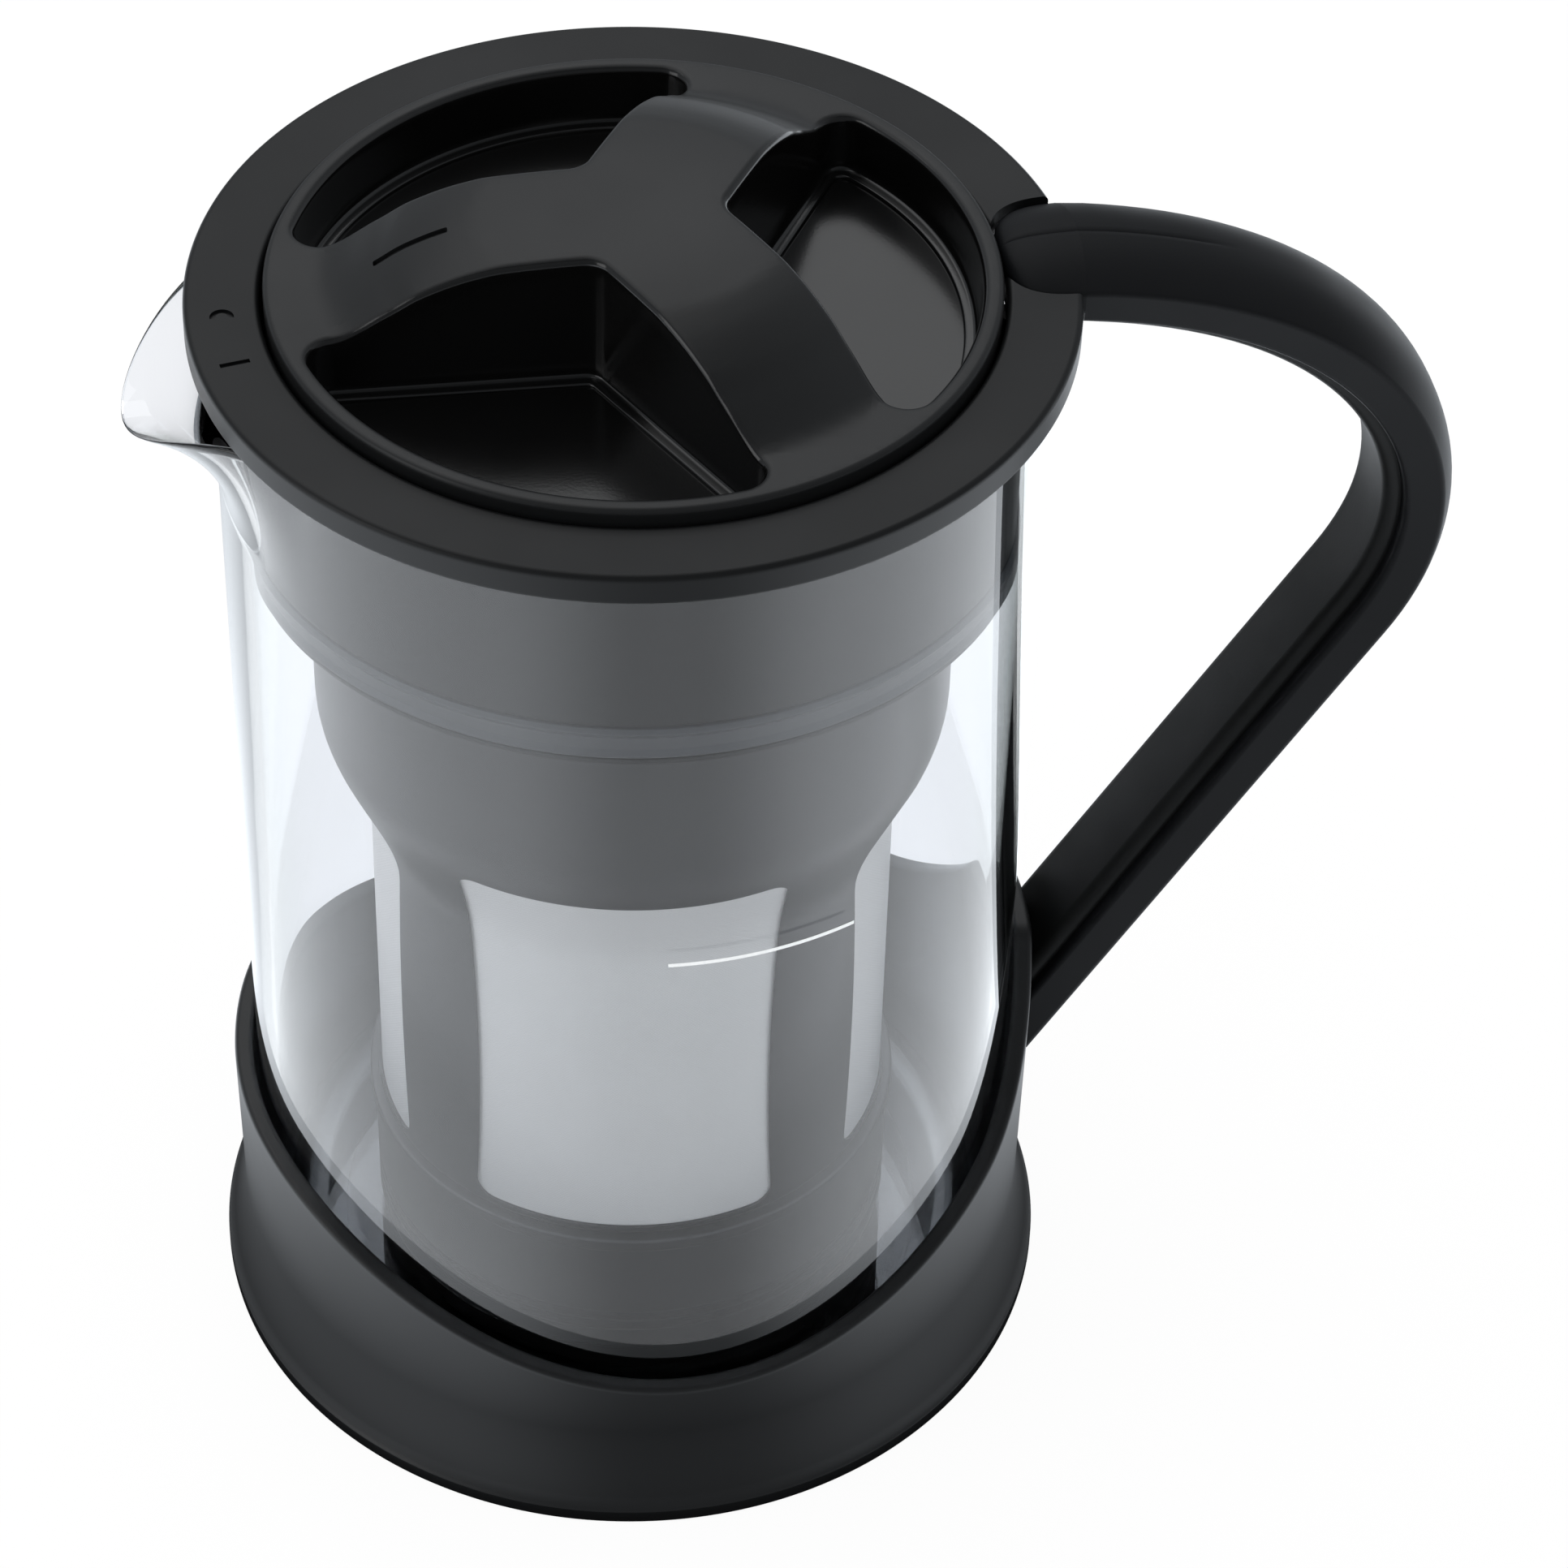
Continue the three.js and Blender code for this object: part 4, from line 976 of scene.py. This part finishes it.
def capShell():
    bm = bmesh.new()
    rim = cap["radius"] - cap["lipEdge"]
    bmesh.ops.create_circle(bm, segments=300, radius=rim)
    outlines = [pocketOutline(pocket["edge"], azimuth) for azimuth in pocket["azimuths"]]
    loops = [[point for point, _ in outline] for outline in outlines] + [grooveOutline()]
    for loop in loops:
        verts = [bm.verts.new((point.x, point.y, 0)) for point in loop]
        for pair in zip(verts, verts[1:] + verts[:1]):
            bm.edges.new(pair)
    bmesh.ops.triangle_fill(bm, edges=bm.edges, use_beauty=True)
    count = int(rim / cap["sheetStep"])
    for axis in (Vector((1, 0, 0)), Vector((0, 1, 0))):
        for k in range(-count, count + 1):
            bmesh.ops.bisect_plane(
                bm, geom=bm.verts[:] + bm.edges[:] + bm.faces[:], dist=cap["bite"],
                plane_co=axis * (k * cap["sheetStep"] + cap["sheetShift"]), plane_no=axis,
            )
    home = bm.verts.layers.float_vector.new("home")
    inward = bm.verts.layers.float_vector.new("inward")
    kinds = {}
    slot = [(point, Vector((0, 0))) for point in grooveOutline()]
    for edge in bm.edges:
        if not edge.is_boundary:
            continue
        middle = (edge.verts[0].co + edge.verts[1].co) / 2
        if middle.length > rim - cap["rimBand"]:
            kinds.setdefault("rim", []).append(edge)
        elif nearest(slot, middle)[0] < cap["grooveBand"]:
            kinds.setdefault("groove", []).append(edge)
        else:
            index = min(range(3), key=lambda i: nearest(outlines[i], middle)[0])
            kinds.setdefault(index, []).append(edge)
    for vert in bm.verts:
        vert.co.z = domeHeight(vert.co.xy.length)
        vert[home] = vert.co
    for index, outline in enumerate(outlines):
        for vert in {vert for edge in kinds[index] for vert in edge.verts}:
            direction = nearest(outline, vert.co)[1]
            vert[inward] = (direction.x, direction.y, 0)

    def moved(inset, height):
        def place(vert):
            base, into = vert[home], vert[inward]
            facing = max(0, -into.dot(base.normalized()))
            draft = pocket["sideDraft"] + (pocket["draft"] - pocket["sideDraft"]) * facing ** 2
            share = min(max((cap["top"] - height(base)) / (cap["top"] - pocket["floor"]), 0), 1)
            spot = base + into * (inset + draft * share)
            return Vector((spot.x, spot.y, height(base)))
        return place

    # pocket walls: rounded upper edge, drafted wall, fillet, narrow ledge, step and floor
    edge, fillet, ledgeTop = pocket["edge"], pocket["fillet"], pocket["floor"] + pocket["step"]
    foot, reach = ledgeTop + fillet, edge + fillet + pocket["ledge"]
    rings = [(edge * sin(turn), lambda base, d=edge * (1 - cos(turn)): base.z - d) for turn in quarter(5)]
    for share in pocket["wallRings"]:
        rings.append((edge, lambda base, s=share: base.z - edge - (base.z - edge - foot) * s))
    levels = [(edge + fillet * (1 - cos(t)), ledgeTop + fillet * (1 - sin(t))) for t in quarter(4)]
    levels.append((reach, ledgeTop))
    for turn in quarter(3):
        out = reach + pocket["floorRound"] * sin(turn) * pocket["floorShare"]
        levels.append((out, ledgeTop - pocket["step"] * (1 - cos(turn))))
    levels += [(reach + pocket["floorRound"] + extra, pocket["floor"]) for extra in pocket["floorRings"]]
    rings += [(inset, lambda base, z=level: z) for inset, level in levels]
    # Past the first rings the pocket walls and floors take the polished plastic, whose darker colour is
    # painted shade
    for index in range(3):
        loop = kinds[index]
        for k, (inset, height) in enumerate(rings):
            loop = nextRing(bm, loop, moved(inset, height), k >= pocket["satinRings"])
        for face in bmesh.ops.contextual_create(bm, geom=loop)["faces"]:
            face.material_index = 1

    loop = kinds["groove"]
    for share in groove["rings"]:
        drop = Vector((0, 0, groove["depth"] * share))
        loop = nextRing(bm, loop, lambda vert, drop=drop: Vector(vert[home]) - drop)
    bmesh.ops.contextual_create(bm, geom=loop)

    def ringAt(radius, z):
        def place(vert):
            out = vert[home].xy.normalized() * radius
            return Vector((out.x, out.y, z))
        return place

    loop = kinds["rim"]
    lipEdge = cap["lipEdge"]
    over = [(rim + lipEdge * sin(t), cap["top"] - lipEdge * (1 - cos(t))) for t in quarter(5)]
    for radius, z in over + cap["lip"]:
        loop = nextRing(bm, loop, ringAt(radius, z))
    bmesh.ops.contextual_create(bm, geom=loop)
    for layer in (home, inward):
        bm.verts.layers.float_vector.remove(layer)
    for spoke in locks["spokes"]:
        lug = sector(
            cap["lockInner"], cap["lock"], spoke, locks["halfTurn"], cap["lockLow"], cap["lockTop"],
        )
        bm = gathered([bm, lug])
    finishPiece(
        bm, "capShell", "etchedPolypropylene", "cap", ["cap_shell"],
        second="polishedPolypropyleneWithPaintedShade",
    )


capShell()
print("twist cap made")


# Floor, light and camera

studio = {
    "floorSize": 6.0, "floorColour": "#f4f4f4", "floorGlow": 0.94, "fibresPerMm": 0.9,
    "fibreHeight": 0.2, "fibreRelief": 0.05, "footShare": 0.0, "footReach": 62, "floorReach": 94,
    "mirrorFront": 0.58, "mirrorSide": 1.9, "sideFrom": 0.12, "sideTo": 0.7, "skyDiffuse": 1.05,
    "skyGloss": "#eff5fb", "skyBack": 0.5, "skyTop": 0.22, "topFrom": 0.72, "topTo": 0.97,
    "skyFront": 0.55, "frontFrom": -0.75, "frontTo": 0.15, "aim": (0, 0, 0.1),
}
white = (1, 1, 1, 1)


def whiteFloor():
    material, tree, place = newMaterial("whiteStudioPaper")
    fibres = addNode(tree, "TexNoise", {
        "Vector": place, "Scale": studio["fibresPerMm"] / mm, "Detail": 2.0,
    })
    bump = addNode(tree, "Bump", {
        "Height": fibres, "Strength": studio["fibreRelief"], "Distance": studio["fibreHeight"] * mm,
    })
    paper = addNode(tree, "BsdfDiffuse", {"Color": linear(studio["floorColour"]), "Normal": bump})
    rays = addNode(tree, "LightPath")
    seen = addNode(tree, "Math", {
        0: rays.outputs["Is Camera Ray"], 1: rays.outputs["Is Transmission Ray"],
    }, operation="MAXIMUM")
    plain = addNode(tree, "Emission", {"Color": white, "Strength": 1.0})
    # What the gloss mirrors of the floor is a painted glow: painted shade near the cup's foot, where its
    # contact shadow falls, and painted light that is brighter to the sides than in front
    off = addNode(tree, "VectorMath", {0: place}, operation="LENGTH")
    paintedFootShade = addNode(tree, "MapRange", {
        "Value": off, "From Min": studio["footReach"] * mm,
        "From Max": studio["floorReach"] * mm, "To Min": studio["footShare"], "To Max": 1.0,
    }, interpolation_type="SMOOTHSTEP")
    outward = addNode(tree, "VectorMath", {0: place}, operation="NORMALIZE")
    heading = addNode(tree, "SeparateXYZ", {"Vector": outward})
    side = addNode(tree, "Math", {0: heading.outputs["X"]}, operation="ABSOLUTE")
    bright = addNode(tree, "MapRange", {
        "Value": side, "From Min": studio["sideFrom"], "From Max": studio["sideTo"],
        "To Min": studio["mirrorFront"], "To Max": studio["mirrorSide"],
    }, interpolation_type="SMOOTHSTEP")
    paintedMirrorGlow = addNode(tree, "Math", {0: paintedFootShade, 1: bright}, operation="MULTIPLY")
    mirrored = addNode(tree, "Emission", {"Color": linear(studio["skyGloss"]), "Strength": paintedMirrorGlow})
    gloss = addNode(tree, "Math", {
        0: rays.outputs["Is Glossy Ray"], 1: rays.outputs["Is Transmission Ray"],
    }, operation="SUBTRACT", use_clamp=True)
    glowing = addNode(tree, "Math", {0: seen, 1: studio["floorGlow"]}, operation="MULTIPLY")
    lit = addNode(tree, "MixShader", {0: glowing, 1: paper, 2: plain})
    whole = addNode(tree, "MixShader", {0: gloss, 1: lit, 2: mirrored})
    addNode(tree, "OutputMaterial", {"Surface": whole})
    bm = bmesh.new()
    bmesh.ops.create_grid(bm, x_segments=4, y_segments=4, size=studio["floorSize"] / 2)
    mesh = bpy.data.meshes.new("studioFloor")
    bm.to_mesh(mesh)
    bm.free()
    mesh.materials.append(material)
    placed("studioFloor", mesh)


# White all round for the eye and through the glass. What the gloss mirrors is bright at the back
# and the sides, and darker overhead and in front.
def studioWorld():
    world = bpy.data.worlds.new("whiteStudio")
    world.use_nodes = True
    bpy.context.scene.world = world
    tree = world.node_tree
    tree.nodes.clear()
    way = addNode(tree, "SeparateXYZ", {"Vector": addNode(tree, "TexCoord").outputs["Generated"]})
    high = addNode(tree, "MapRange", {
        "Value": way.outputs["Z"], "From Min": studio["topFrom"], "From Max": studio["topTo"],
        "To Min": studio["skyBack"], "To Max": studio["skyTop"],
    }, interpolation_type="SMOOTHSTEP")
    front = addNode(tree, "MapRange", {
        "Value": way.outputs["Y"], "From Min": studio["frontFrom"], "From Max": studio["frontTo"],
        "To Min": studio["skyFront"], "To Max": 1.0,
    }, interpolation_type="SMOOTHSTEP")
    mirrored = addNode(tree, "Math", {0: high, 1: front}, operation="MULTIPLY")
    rays = addNode(tree, "LightPath")
    seen = addNode(tree, "Math", {
        0: rays.outputs["Is Camera Ray"], 1: rays.outputs["Is Transmission Ray"],
    }, operation="MAXIMUM")
    gloss = addNode(tree, "Mix", {
        "Factor": rays.outputs["Is Glossy Ray"], 2: studio["skyDiffuse"], 3: mirrored,
    }, data_type="FLOAT")
    strength = addNode(tree, "Mix", {"Factor": seen, 2: gloss, 3: 1.0}, data_type="FLOAT")
    cool = addNode(tree, "Mix", {
        "Factor": rays.outputs["Is Glossy Ray"], 6: white, 7: linear(studio["skyGloss"]),
    }, data_type="RGBA")
    sky = addNode(tree, "Background", {"Color": cool, "Strength": strength})
    addNode(tree, "OutputWorld", {"Surface": sky})


softBoxes = {
    "overheadSoftBox": {"place": (-0.35, 0.55, 1.35), "size": 1.1, "power": 4.0},
    "backSoftBox": {"place": (0.23, 1.14, 1.28), "size": 0.75, "power": 1.7},
    "leftSoftBox": {"place": (-1.3, -0.35, 0.7), "size": 0.8, "power": 3.2},
}


def softLight(name, look):
    light = bpy.data.lights.new(name, "AREA")
    light.shape = "SQUARE"
    light.size = look["size"]
    light.energy = look["power"]
    lamp = placed(name, light)
    lamp.location = look["place"]
    aim = Vector(studio["aim"]) - Vector(look["place"])
    lamp.rotation_euler = aim.to_track_quat("-Z", "Y").to_euler()


# The photograph's view: a long lens from the front, a little to the left and well above
view = {
    "place": (-85.2, -527.9, 593.0), "lens": 117.2, "sensor": 36, "roll": 1.8, "clip": (0.01, 20),
    "right": (0.97992, -0.19937, 0), "back": (-0.14539, -0.71459, 0.68427),
}


def photoCamera():
    right, back = Vector(view["right"]), Vector(view["back"])
    up = back.cross(right)
    roll = radians(view["roll"])
    sideways, upward = right * cos(roll) + up * sin(roll), up * cos(roll) - right * sin(roll)
    data = bpy.data.cameras.new("photoCamera")
    data.lens, data.sensor_width = view["lens"], view["sensor"]
    data.clip_start, data.clip_end = view["clip"]
    camera = placed("photoCamera", data)
    turn = Matrix((sideways, upward, back)).transposed().to_4x4()
    camera.matrix_world = Matrix.Translation(Vector(view["place"]) * mm) @ turn
    bpy.context.scene.camera = camera


whiteFloor()
studioWorld()
for name, look in softBoxes.items():
    softLight(name, look)
photoCamera()
bpy.context.scene.view_settings.view_transform = "Standard"
print("floor, light and camera set")
